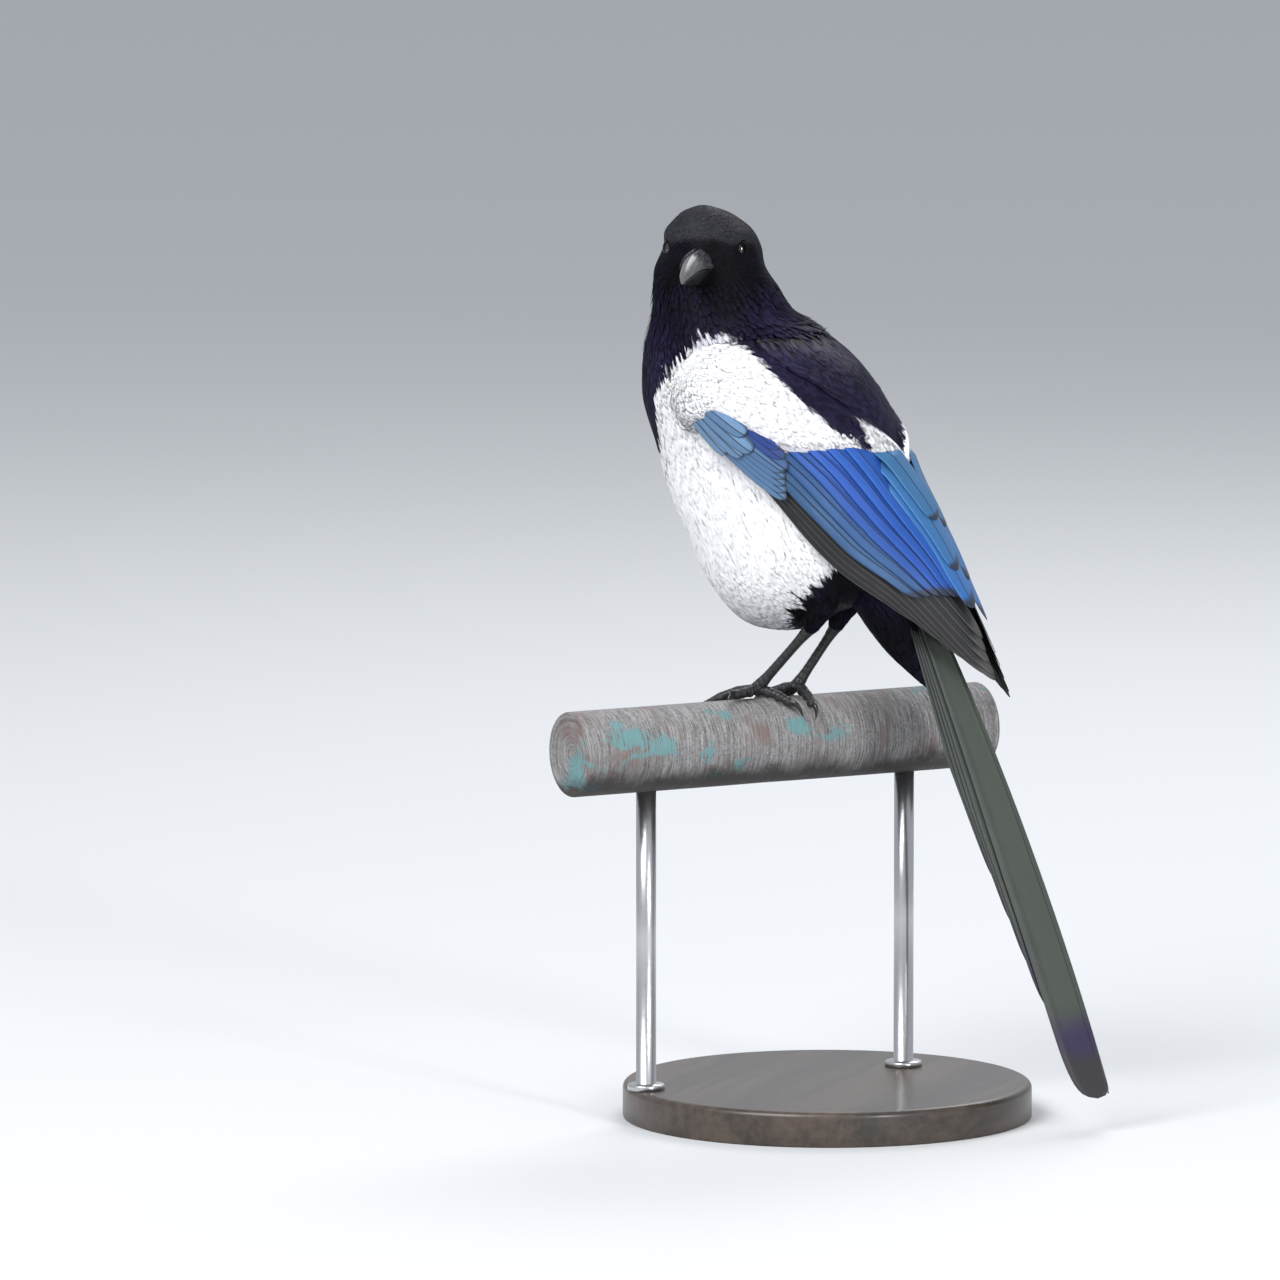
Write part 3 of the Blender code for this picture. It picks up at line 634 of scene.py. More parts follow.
@dataclass(frozen=True)
class BodyForm:
    """The outer form of torso, neck and head, as sections at heights above the perch."""

    sections: tuple = (
        (27.5, 3.0, 6.0, 6.0, 7.0, 7.0),
        (29.0, 3.0, 12.0, 12.0, 13.0, 12.5),
        (33.0, 4.0, 19.5, 19.5, 20.5, 19.0),
        (40.0, 8.0, 27.5, 27.5, 31.0, 30.0),
        (50.0, 12.0, 33.5, 33.5, 42.0, 41.0),
        (64.0, 16.0, 37.0, 37.0, 52.0, 43.0),
        (82.0, 10.0, 38.0, 38.0, 54.5, 45.0),
        (101.0, 2.0, 38.0, 38.0, 52.0, 45.0),
        (118.0, -4.5, 37.0, 37.0, 51.0, 45.0),
        (130.0, -8.0, 36.0, 36.0, 48.0, 43.0),
        (139.0, -12.0, 34.0, 34.0, 43.0, 40.0),
        (148.0, -16.5, 30.5, 30.5, 36.0, 33.5),
        (155.0, -22.0, 26.0, 27.5, 29.5, 28.0),
        (165.0, -25.5, 22.0, 25.5, 26.0, 24.5),
        (172.0, -27.8, 21.0, 25.0, 22.3, 21.8),
        (180.0, -27.8, 20.0, 24.5, 19.6, 20.0),
        (187.0, -28.6, 16.8, 21.0, 17.2, 17.2),
        (192.0, -29.8, 12.0, 15.5, 12.5, 12.2),
        (194.6, -30.6, 7.8, 10.4, 8.7, 8.4),
        (196.1, -31.0, 3.8, 5.0, 4.6, 4.4),
    )
    bottom: float = 27.0
    top: float = 197.0

    def reach(self, heights: Array, angles: Array) -> Array:
        """Distance from the body's middle to its surface.

        Args:
            heights: Heights in mm.
            angles: Angles from the bird's left, towards its back.

        Returns:
            The distances in mm.
        """
        rows = read_table(self.sections, heights)
        across = np.where(np.cos(angles) > 0, rows[..., 1], rows[..., 2])
        along = np.where(np.sin(angles) > 0, rows[..., 4], rows[..., 3])
        return 1.0 / np.hypot(np.cos(angles) / across, np.sin(angles) / along)

    def middle(self, heights: Array) -> Array:
        """The Y of the body's middle at each height."""
        return read_table(self.sections, heights)[..., 0]

    def points(self, heights: Array, angles: Array) -> Array:
        """Points on the surface at heights and angles."""
        reach = self.reach(heights, angles)
        return np.stack((reach * np.cos(angles), self.middle(heights) + reach * np.sin(angles),
                         heights + 0.0 * reach), -1)

    def outside(self, points: Array) -> Array:
        """How far points lie outside the surface, in mm, measured level."""
        heights = points[..., 2]
        aside = points[..., 1] - self.middle(heights)
        angles = np.arctan2(aside, points[..., 0])
        return np.hypot(points[..., 0], aside) - self.reach(heights, angles)


BODY = BodyForm()


@dataclass(frozen=True)
class HeadForm:
    """Where the head looks, with the places of its eyes and bill."""

    middle: tuple[float, float, float] = (0.0, -28.0, 178.0)
    turn: float = radians(6.0)
    eye_forward: float = 9.5
    eye_aside: float = 16.9
    eye_up: float = 1.9
    eye_sink: float = 4.5
    eye_turn: float = radians(24.0)
    eye_radius: float = 4.6
    bill_root: float = 11.0
    bill_aside: float = -0.8
    bill_drop: float = -4.0
    bill_pitch: float = radians(-8.0)

    def forward(self) -> Array:
        """The way that the head looks, level."""
        return np.array((cos(self.turn), sin(self.turn), 0.0))

    def left(self) -> Array:
        """The head's own left."""
        return np.array((-sin(self.turn), cos(self.turn), 0.0))

    def place(self, forward: float, left: float, up: float) -> Array:
        """A point measured from the head's middle in its own directions."""
        return np.array(self.middle) + self.forward() * forward + self.left() * left + UP * up

    def eye_direction(self, side: int) -> Array:
        """Where an eye looks; side is 1 for the bird's left."""
        return unit(self.left() * side * cos(self.eye_turn) + self.forward() * sin(self.eye_turn))

    def eye_middle(self, side: int) -> Array:
        """The middle of an eye; side is 1 for the bird's left."""
        surface = self.place(self.eye_forward, side * self.eye_aside, self.eye_up)
        return surface - self.eye_direction(side) * self.eye_sink

    def bill_start(self) -> Array:
        """The root of the bill's middle line."""
        return self.place(self.bill_root, self.bill_aside, self.bill_drop)

    def bill_along(self) -> Array:
        """The direction of the bill."""
        return self.forward() * cos(self.bill_pitch) + UP * sin(self.bill_pitch)


HEAD = HeadForm()


@dataclass(frozen=True)
class ThighForm:
    """One feathered thigh, from inside the belly to the bare leg's top."""

    top: tuple[float, float, float]
    cuff: tuple[float, float, float]
    radii: tuple[float, ...] = (7.0, 8.6, 8.4, 6.6, 4.2, 2.2)

    def path(self) -> Array:
        """Points along its middle."""
        top, cuff = np.array(self.top), np.array(self.cuff)
        shares = np.linspace(0.0, 1.0, len(self.radii))[:, None]
        return top + (cuff - top) * shares

    def nearness(self, points: Array) -> tuple[Array, Array]:
        """Place along the thigh, 0 to 1, and distance from its middle line.

        Args:
            points: Points in mm.

        Returns:
            The places and the distances.
        """
        top, cuff = np.array(self.top), np.array(self.cuff)
        line = cuff - top
        share = np.clip((points - top) @ line / (line @ line), 0.0, 1.0)
        return share, np.linalg.norm(points - top - share[..., None] * line, axis=-1)


THIGHS = (ThighForm((17.0, 26.0, 50.0), (13.2, 19.1, 29.2)),
          ThighForm((-17.0, 26.0, 50.0), (-14.1, 20.1, 26.8)))


class Region(Enum):
    """The fields of plumage, each made as its own piece of coat."""

    HEAD = 0
    NECK = 1
    BREAST = 2
    BELLY = 3
    FLANK = 4
    BACK = 5
    THIGH = 6
    THROAT = 7
    CHEST = 8


BARE_REGION = 50


@dataclass(frozen=True)
class Markings:
    """Where the plumage is black or white, and how its feathers lie."""

    bib_edge: tuple = ((0.0, 92.0), (15.0, 95.0), (25.0, 101.0), (30.0, 112.0), (36.0, 121.5),
                       (48.0, 130.0), (59.0, 136.0), (69.0, 140.5), (78.0, 143.5), (92.0, 146.0),
                       (115.0, 146.0), (180.0, 166.0))
    vent_edge: tuple = ((20.0, 4.0), (29.0, 10.0), (38.0, 18.0), (52.0, 36.0), (66.0, 50.0),
                        (90.0, 30.0), (110.0, 8.0), (125.0, -2.0), (138.0, -4.0), (156.0, -4.0))

    def white(self, points: Array) -> Array:
        """Signed depth inside the white, in mm.

        Args:
            points: Points on the body, in mm.

        Returns:
            Positive where the plumage is white.
        """
        heights = points[..., 2]
        aside = points[..., 1] - BODY.middle(heights)
        from_front = np.degrees(np.abs(np.arctan2(points[..., 0], -aside)))
        below_bib = read_table(self.bib_edge, from_front)[..., 0] - heights
        before_vent = read_table(self.vent_edge, heights)[..., 0] - points[..., 1]
        return np.minimum(below_bib, before_vent)

    def lie(self, points: Array, normals: Array) -> Array:
        """The direction that feathers lie in.

        Args:
            points: Points on the skin, in mm.
            normals: The skin's normals there.

        Returns:
            Tangent directions of length one.
        """
        vent = np.array((0.0, 46.0, 20.0))
        flow = unit(vent - points) + np.array((0.0, 0.15, -0.35))
        from_bill = points - (HEAD.bill_start() + UP * 1.0)
        head_flow = from_bill / 26.0 + np.array((0.0, 0.1, -0.45))
        share = smooth_step(158.0, 174.0, points[..., 2])[..., None]
        flow = unit(flow) * (1.0 - share) + unit(head_flow) * share
        for thigh in THIGHS:
            _, away = thigh.nearness(points)
            near = (1.0 - smooth_step(8.0, 12.0, away)) * (1.0 - smooth_step(40.0, 50.0, points[..., 2]))
            down = unit(np.array(thigh.cuff) - np.array(thigh.top))
            flow = flow * (1.0 - near[..., None]) + down * near[..., None]
        flow = flow - normals * np.sum(flow * normals, -1, keepdims=True)
        return unit(flow)

    def length(self, points: Array) -> Array:
        """Length of the feathers' free part, in mm."""
        heights = points[..., 2]
        rows = ((20.0, 8.0), (34.0, 10.0), (60.0, 10.5), (100.0, 10.0), (135.0, 9.5), (152.0, 10.0),
                (163.0, 7.5), (172.0, 5.0), (182.0, 4.2), (197.0, 4.0))
        long = read_table(rows, heights)[..., 0]
        from_bill = np.linalg.norm(points - HEAD.bill_start(), axis=-1)
        face = smooth_step(8.0, 26.0, from_bill) * 0.62 + 0.38
        for side in (1, -1):
            from_eye = np.linalg.norm(points - HEAD.eye_middle(side), axis=-1)
            face = np.minimum(face, 0.3 + 0.7 * smooth_step(5.0, 14.0, from_eye))
        on_head = smooth_step(158.0, 168.0, heights)
        return long * (1.0 - on_head + on_head * face)

    def sheen(self, points: Array) -> tuple[Array, Array, Array]:
        """Violet gloss of the black, a painted grey sheen where light falls on the head, and a painted
        lavender shade on the white.

        Args:
            points: Points on the body, in mm.

        Returns:
            The three shares.
        """
        own = points - np.array(HEAD.middle)
        ahead, aside, above = own @ HEAD.forward(), np.abs(own @ HEAD.left()), own[..., 2]
        on_head = smooth_step(160.0, 170.0, points[..., 2])
        # painted sheen: the black is greyed above the brow and on the cheeks, where light falls from above
        brow = smooth_step(5.7, 8.3, above + 2.6 * smooth_step(4.0, 14.0, aside))
        cheek = smooth_step(15.0, 19.0, aside) * smooth_step(6.0, 0.0, ahead) * 0.5
        velvet = on_head * np.clip(brow * smooth_step(-14.0, 6.0, ahead) * 1.0 + cheek, 0.0, 1.0)
        below_bill = np.linalg.norm(points - HEAD.bill_start() + UP * 14.0, axis=-1)
        gloss = smooth_step(100.0, 130.0, points[..., 2]) * (1.0 - on_head) * smooth_step(
            10.0, 26.0, below_bill) * 0.9
        around = np.degrees(np.abs(np.arctan2(points[..., 0], BODY.middle(points[..., 2]) - points[..., 1])))
        # painted shade: the white turns lavender low on the belly and along the fold under the wing, where
        # less light falls
        low = 1.0 - smooth_step(28.0, 52.0, points[..., 2])
        fold = np.exp(-((around - 88.0) / 20.0) ** 2) * smooth_step(90.0, 110.0, points[..., 2])
        return gloss, velvet, np.clip(0.5 * low + 0.9 * fold, 0.0, 1.0)

    def lift(self, points: Array) -> Array:
        """How far the feathers stand off, as rise over run."""
        heights = points[..., 2]
        rows = ((20.0, 0.13), (34.0, 0.04), (50.0, 0.0), (120.0, 0.0), (140.0, 0.02), (154.0, 0.06),
                (166.0, 0.06), (176.0, 0.02), (197.0, 0.0))
        around = np.degrees(np.abs(np.arctan2(points[..., 0], BODY.middle(heights) - points[..., 1])))
        nape = np.exp(-((heights - 152.0) / 5.0) ** 4) * smooth_step(84.0, 102.0, around)
        return read_table(rows, heights)[..., 0] + 0.14 * nape


MARKINGS = Markings()


@dataclass(frozen=True)
class CoatField:
    """One pass of tufts over a region: spacing, width and height in mm, the rest as shares."""

    name: str
    region: Region
    spacing: float
    width: float
    height: float = 0.55
    tuft: str = "plain"
    turn: float = 0.07
    lift: float = 1.0
    loose: float = 0.12
    slot: str = "black_plumage"


COAT_FIELDS = (
    CoatField("head", Region.HEAD, 0.95, 1.5, 0.30, "short"),
    CoatField("neck", Region.NECK, 1.5, 2.6),
    CoatField("throat", Region.THROAT, 1.4, 2.2),
    CoatField("hackles", Region.THROAT, 2.1, 1.9, 0.7, "loose", 0.28, 2.2, 0.5),
    CoatField("breast", Region.BREAST, 1.3, 2.0, 0.30, "silky"),
    CoatField("belly", Region.BELLY, 1.2, 2.3, 0.15, "silky", slot="white_plumage"),
    CoatField("chest", Region.CHEST, 1.2, 2.3, 0.15, "silky", slot="white_plumage"),
    CoatField("flank", Region.FLANK, 1.5, 2.6, 0.15, "silky", slot="white_plumage"),
    CoatField("back", Region.BACK, 2.0, 3.0, 0.30, "silky"),
    CoatField("thigh", Region.THIGH, 1.5, 2.4, 0.6, turn=0.14),
)


@dataclass
class Skin:
    """The one closed skin under head, neck, torso and thighs, inside them by the coat's depth."""

    columns: int = 108
    rings: int = 150
    thigh_sides: int = 28
    body_depth: float = 0.9
    head_depth: float = 0.6
    data: dict = field(default_factory=dict)

    def surface(self) -> tuple[Array, tuple[Array, Array]]:
        """The body's rings, moved in by the coat's depth, and its two poles."""
        share = np.linspace(0.0, 1.0, self.rings)
        ends = 0.5 - 0.5 * np.cos(pi * share)
        heights = BODY.bottom + 0.5 + (BODY.top - BODY.bottom - 1.6) * (0.65 * share + 0.35 * ends)
        angles = np.linspace(0, 2 * pi, self.columns, endpoint=False)
        grid_h, grid_a = np.meshgrid(heights, angles, indexing="ij")
        outer = BODY.points(grid_h, grid_a)
        up = np.gradient(outer, axis=0)
        wrapped = np.concatenate((outer[:, -1:], outer, outer[:, :1]), 1)
        around = (wrapped[:, 2:] - wrapped[:, :-2]) / 2
        normals = unit(np.cross(around, up))
        depth = self.body_depth + (self.head_depth - self.body_depth) * smooth_step(150, 176, grid_h)
        inner = outer - normals * depth[..., None]
        inner = self.face_relief(inner, normals)
        crown = np.array((0.0, inner[-1, :, 1].mean(), BODY.top - self.head_depth))
        cap = [crown + (inner[-1] - crown) * np.array((r, r, r * r)) for r in (0.85, 0.66, 0.45, 0.22)]
        inner = np.concatenate((inner, np.array(cap)))
        low = np.array((0.0, inner[0, :, 1].mean(), BODY.bottom + self.body_depth))
        high = np.array((0.0, inner[-1, :, 1].mean(), BODY.top - self.head_depth))
        return inner, (low, high)

    def face_relief(self, points: Array, normals: Array) -> Array:
        """Brows, lores and cheeks.

        Args:
            points: The skin's points.
            normals: Its normals.

        Returns:
            The moved points.
        """
        moved = np.zeros(points.shape[:-1])
        for side in (1, -1):
            eye = HEAD.place(HEAD.eye_forward, side * HEAD.eye_aside, HEAD.eye_up)
            forward, up = HEAD.forward(), UP
            ahead = (points - eye) @ forward
            above = (points - eye) @ up
            away = np.linalg.norm(points - eye, axis=-1)
            near = 1.0 - smooth_step(12.0, 20.0, away)
            moved += near * 1.0 * np.exp(-((above - 5.4 + 0.12 * ahead) / 3.2) ** 2
                                         - (ahead / 9.0) ** 2)
            moved -= near * 0.9 * np.exp(-((above + 0.5) / 3.0) ** 2 - ((ahead - 8.0) / 4.0) ** 2)
            moved += near * 0.8 * np.exp(-((above + 9.0) / 4.5) ** 2 - ((ahead + 1.0) / 8.0) ** 2)
            moved -= 0.8 * np.exp(-(away / 5.2) ** 4)
        return points + normals * moved[..., None]

    def build(self, finish: bpy.types.Material) -> bpy.types.Object:
        """Make the skin, with its markings as attributes.

        Args:
            finish: The plumage finish that skin and coat share.

        Returns:
            The skin object.
        """
        inner, poles = self.surface()
        body = as_object(ring_mesh("body_skin", inner, poles), finish)
        legs = []
        for number, thigh in enumerate(THIGHS):
            path = thigh.path()
            fine = np.stack([np.interp(np.linspace(0, 1, 14), np.linspace(0, 1, len(path)), path[:, k])
                             for k in range(3)], 1)
            radii = read_table([(k / 5, r) for k, r in enumerate(thigh.radii)], np.linspace(0, 1, 14))
            rings = tube_rings(fine, radii[:, 0], self.thigh_sides, up=np.array((0.0, 1.0, 0.0)))
            legs.append(as_object(ring_mesh(f"thigh_{number}", rings)))
        skin = union(body, *legs, name="skin")
        skin.data.materials.clear()
        skin.data.materials.append(finish)
        self.dress(skin.data)
        register(skin, "white_plumage", "head", "neck", "torso", "thigh_left", "thigh_right")
        return skin

    def dress(self, mesh: bpy.types.Mesh) -> None:
        """Store the lie, size, colour and unwrap of the plumage on the skin."""
        count = len(mesh.vertices)
        points, normals = np.empty(count * 3, np.float32), np.empty(count * 3, np.float32)
        mesh.vertices.foreach_get("co", points)
        mesh.vertices.foreach_get("normal", normals)
        points = from_world(points.reshape(-1, 3))
        normals = unit(normals.reshape(-1, 3).astype(float))
        nearest = [thigh.nearness(points) for thigh in THIGHS]
        away = np.minimum(nearest[0][1], nearest[1][1])
        on_thigh = (BODY.outside(points) > -1.2) & (away < 11.0) & (points[:, 2] < 52.0)
        length = MARKINGS.length(points) * np.where(on_thigh, 0.62, 1.0)
        lie = MARKINGS.lie(points, normals)
        white = MARKINGS.white(points + lie * length[:, None] * 0.8)
        white = np.where(on_thigh, -6.0, white)
        gloss, velvet, tint = MARKINGS.sheen(points)
        for name, values in (("white", white), ("coat_length", length * MM),
                             ("coat_lift", MARKINGS.lift(points)), ("gloss", gloss),
                             ("velvet", velvet), ("tint", tint)):
            put(mesh, name, "FLOAT", "POINT", values.astype(np.float32))
        put(mesh, "lie", "FLOAT_VECTOR", "POINT", lie.astype(np.float32))
        put(mesh, "skin_normal", "FLOAT_VECTOR", "POINT", normals.astype(np.float32))
        self.unwrap(mesh, points, on_thigh)

    def unwrap(self, mesh: bpy.types.Mesh, points: Array, on_thigh: Array) -> None:
        """Lay the skin out by angle and height, and sort its faces into regions."""
        corners = np.empty(len(mesh.loops), np.int32)
        mesh.loops.foreach_get("vertex_index", corners)
        starts = np.empty(len(mesh.polygons), np.int32)
        totals = np.empty(len(mesh.polygons), np.int32)
        mesh.polygons.foreach_get("loop_start", starts)
        mesh.polygons.foreach_get("loop_total", totals)
        owner = np.repeat(np.arange(len(starts)), totals)
        centre = np.zeros((len(starts), 3))
        np.add.at(centre, owner, points[corners])
        centre /= totals[:, None]
        thigh_share = np.zeros(len(starts))
        np.add.at(thigh_share, owner, on_thigh[corners].astype(float))
        thigh_face = thigh_share / totals > 0.5
        middle = BODY.middle(centre[:, 2])
        turn = np.arctan2(centre[:, 1] - middle, centre[:, 0])
        here = points[corners]
        own = np.arctan2(here[:, 1] - middle[owner], here[:, 0])
        swing = (own - turn[owner] + pi) % (2 * pi) - pi
        swing = np.clip(swing, -0.3, 0.3)
        across = (turn[owner] + swing + pi) / (2 * pi)
        up = (here[:, 2] - BODY.bottom) / (BODY.top - BODY.bottom)
        place = np.stack((0.02 + 0.96 * across, 0.02 + 0.84 * up), 1)
        side = (centre[:, 0] < 0)[owner]
        small = np.stack((np.where(side, 0.25, 0.05) + here[:, 0] * 0.002 + here[:, 1] * 0.002,
                          0.90 + here[:, 2] * 0.001), 1)
        place[thigh_face[owner]] = small[thigh_face[owner]]
        layer = mesh.uv_layers.new(name="OFBake")
        layer.uv.foreach_set("vector", np.ascontiguousarray(place, dtype=np.float32).ravel())
        front = np.degrees(np.abs(np.arctan2(centre[:, 0], -(centre[:, 1] - middle))))
        heights = centre[:, 2]
        region = np.full(len(starts), Region.BELLY.value)
        region[heights > 82.0] = Region.CHEST.value
        region[front > 75.0] = Region.FLANK.value
        region[(front > 125.0) | (MARKINGS.white(centre) < 0.0) & (heights < 95.0)] = Region.BACK.value
        region[(MARKINGS.white(centre) < 0.0) & (heights >= 90.0) & (front < 125.0)] = Region.BREAST.value
        region[heights > 150.0] = Region.NECK.value
        region[(heights > 146.0) & (front < 80.0)] = Region.THROAT.value
        region[heights > 168.0] = Region.HEAD.value
        region[thigh_face] = Region.THIGH.value
        put(mesh, "region", "INT", "FACE", region.astype(np.int32))


# ---- tufts and the tree that sets them


class GeometryBook:
    """One Geometry Nodes tree with named inputs."""

    def __init__(self, name: str, inputs: Sequence[tuple[str, str]]) -> None:
        """Start a tree.

        Args:
            name: The tree's name.
            inputs: Rows of input name and socket type, the geometry first.
        """
        self.tree = bpy.data.node_groups.new(name, "GeometryNodeTree")
        self.keys: dict[str, str] = {}
        for label, kind in inputs:
            made = self.tree.interface.new_socket(name=label, in_out="INPUT", socket_type=kind)
            self.keys[label] = made.identifier
        self.tree.interface.new_socket(name="Geometry", in_out="OUTPUT",
                                       socket_type="NodeSocketGeometry")
        self.start = self.tree.nodes.new("NodeGroupInput")
        self.end = self.tree.nodes.new("NodeGroupOutput")

    def given(self, label: str) -> bpy.types.NodeSocket:
        """One of the tree's named inputs."""
        return self.start.outputs[label]

    def node(self, kind: str, settings: dict | None = None, values: dict | None = None,
             result: int | str = 0) -> bpy.types.NodeSocket:
        """Add a node.

        Args:
            kind: The node's type.
            settings: Properties to set first.
            values: Socket name or number to a value or an output socket.
            result: Which output to hand back.

        Returns:
            The chosen output socket.
        """
        made = self.tree.nodes.new(kind)
        for key, value in (settings or {}).items():
            setattr(made, key, value)
        for key, value in (values or {}).items():
            socket = made.inputs[key]
            if isinstance(value, bpy.types.NodeSocket):
                self.tree.links.new(value, socket)
            else:
                socket.default_value = value
        return made.outputs[result]

    def named(self, name: str, kind: str = "FLOAT") -> bpy.types.NodeSocket:
        """Read an attribute of the geometry by name."""
        return self.node("GeometryNodeInputNamedAttribute", {"data_type": kind}, {"Name": name})

    def vector(self, operation: str, *terms: object) -> bpy.types.NodeSocket:
        """One Vector Math node; a scale takes its factor as the second term."""
        values = dict(enumerate(terms))
        if operation == "SCALE":
            values = {0: terms[0], "Scale": terms[1]}
        return self.node("ShaderNodeVectorMath", {"operation": operation}, values)

    def number(self, operation: str, *terms: object) -> bpy.types.NodeSocket:
        """One Math node."""
        return self.node("ShaderNodeMath", {"operation": operation}, dict(enumerate(terms)))

    def random(self, low: object, high: object, seed: object) -> bpy.types.NodeSocket:
        """A random number for each element."""
        return self.node("FunctionNodeRandomValue", {"data_type": "FLOAT"},
                         {2: low, 3: high, "Seed": seed}, result=1)

    def store(self, geometry: bpy.types.NodeSocket, name: str, kind: str, domain: str,
              value: bpy.types.NodeSocket) -> bpy.types.NodeSocket:
        """Store an attribute.

        Args:
            geometry: The geometry that gets it.
            name: The attribute's name.
            kind: Its data type.
            domain: Its domain.
            value: The stored field.

        Returns:
            The geometry with the attribute.
        """
        return self.node("GeometryNodeStoreNamedAttribute", {"data_type": kind, "domain": domain},
                         {"Geometry": geometry, "Name": name, "Value": value})

    def close(self, geometry: bpy.types.NodeSocket) -> None:
        """Lead a geometry to the tree's output."""
        self.tree.links.new(geometry, self.end.inputs[0])

    def run(self, thing: bpy.types.Object, name: str, values: dict[str, object]) -> bpy.types.Mesh:
        """Evaluate the tree on an object.

        Args:
            thing: The object that carries the modifier.
            name: Name of the mesh that comes out.
            values: Input name to value.

        Returns:
            The plain mesh.
        """
        live = thing.modifiers.new(self.tree.name, "NODES")
        live.node_group = self.tree
        for label, value in values.items():
            live[self.keys[label]] = value
        return evaluated_copy(thing, name)


@dataclass(frozen=True)
class TuftShape:
    """A small feather as a few closed tapered strands over one broad leaf.

    Its length runs along X from 0 to 1, its width is 1, and its height is 1.
    """

    leaf_thickness: float = 0.05
    strand_thickness: float = 0.10
    strands: int = 8
    strand_width: float = 0.10
    leaf_width: float = 0.9
    stations: tuple[float, ...] = (0.0, 0.35, 0.72)
    seed: int = 3

    def blade(self, root: float, tip: float, width: float, reach: float, rise: float,
              thick: float) -> tuple[Array, Array]:
        """One tapered blade of three sides.

        Args:
            root: Its root's place across the tuft.
            tip: Its tip's place across the tuft.
            width: Its greatest width.
            reach: Its length.
            rise: Height of its middle above the root.
            thick: Its thickness.

        Returns:
            Its points and triangles.
        """
        points = []
        for station in self.stations:
            x = station * reach
            y = root + (tip - root) * station ** 1.3
            z = rise * (0.1 + 0.9 * station)
            half = width / 2 * (0.55 + 1.6 * station - 1.75 * station ** 2)
            points += [(x, y - half, z), (x, y + half, z), (x, y, z + thick)]
        points.append((reach, tip, rise * 0.95))
        rows = len(self.stations)
        faces = [(0, 2, 1)]
        for r in range(rows - 1):
            for k in range(3):
                a, b = r * 3 + k, r * 3 + (k + 1) % 3
                faces += [(a, b, b + 3), (a, b + 3, a + 3)]
        last = (rows - 1) * 3
        faces += [(last + k, last + (k + 1) % 3, last + 3) for k in range(3)]
        return np.array(points), np.array(faces)

    def variants(self, name: str, count: int) -> bpy.types.Collection:
        """Several tufts that differ a little.

        Args:
            name: Start of their names.
            count: How many.

        Returns:
            A collection of them, outside the scene.
        """
        chance = np.random.default_rng(self.seed)
        group = bpy.data.collections.new(name)
        for number in range(count):
            parts = []
            if self.leaf_width > 0:
                parts.append(self.blade(0.0, chance.uniform(-0.06, 0.06), self.leaf_width,
                                        chance.uniform(0.84, 0.94), 0.5, self.leaf_thickness))
            for k in range(self.strands):
                share = (k + 0.5) / self.strands - 0.5
                tip = share * 0.95 + chance.uniform(-0.08, 0.08)
                parts.append(self.blade(share * 0.35, tip, self.strand_width,
                                        chance.uniform(0.82, 1.0) - 0.3 * abs(share),
                                        0.60 + chance.uniform(-0.06, 0.12), self.strand_thickness))
            start, points, faces = 0, [], []
            for own_points, own_faces in parts:
                points.append(own_points)
                faces.append(own_faces + start)
                start += len(own_points)
            points, faces = np.concatenate(points), np.concatenate(faces)
            mesh = solid_mesh(f"{name}_{number}", points, faces)
            put(mesh, "along", "FLOAT", "POINT", points[:, 0].astype(np.float32))
            put(mesh, "tuft_height", "FLOAT", "POINT", points[:, 2].astype(np.float32))
            put(mesh, "tuft_place", "FLOAT_VECTOR", "POINT",
                np.stack((points[:, 0] - 0.5, points[:, 1], 0 * points[:, 0]), 1).astype(np.float32))
            group.objects.link(bpy.data.objects.new(mesh.name, mesh))
        return group


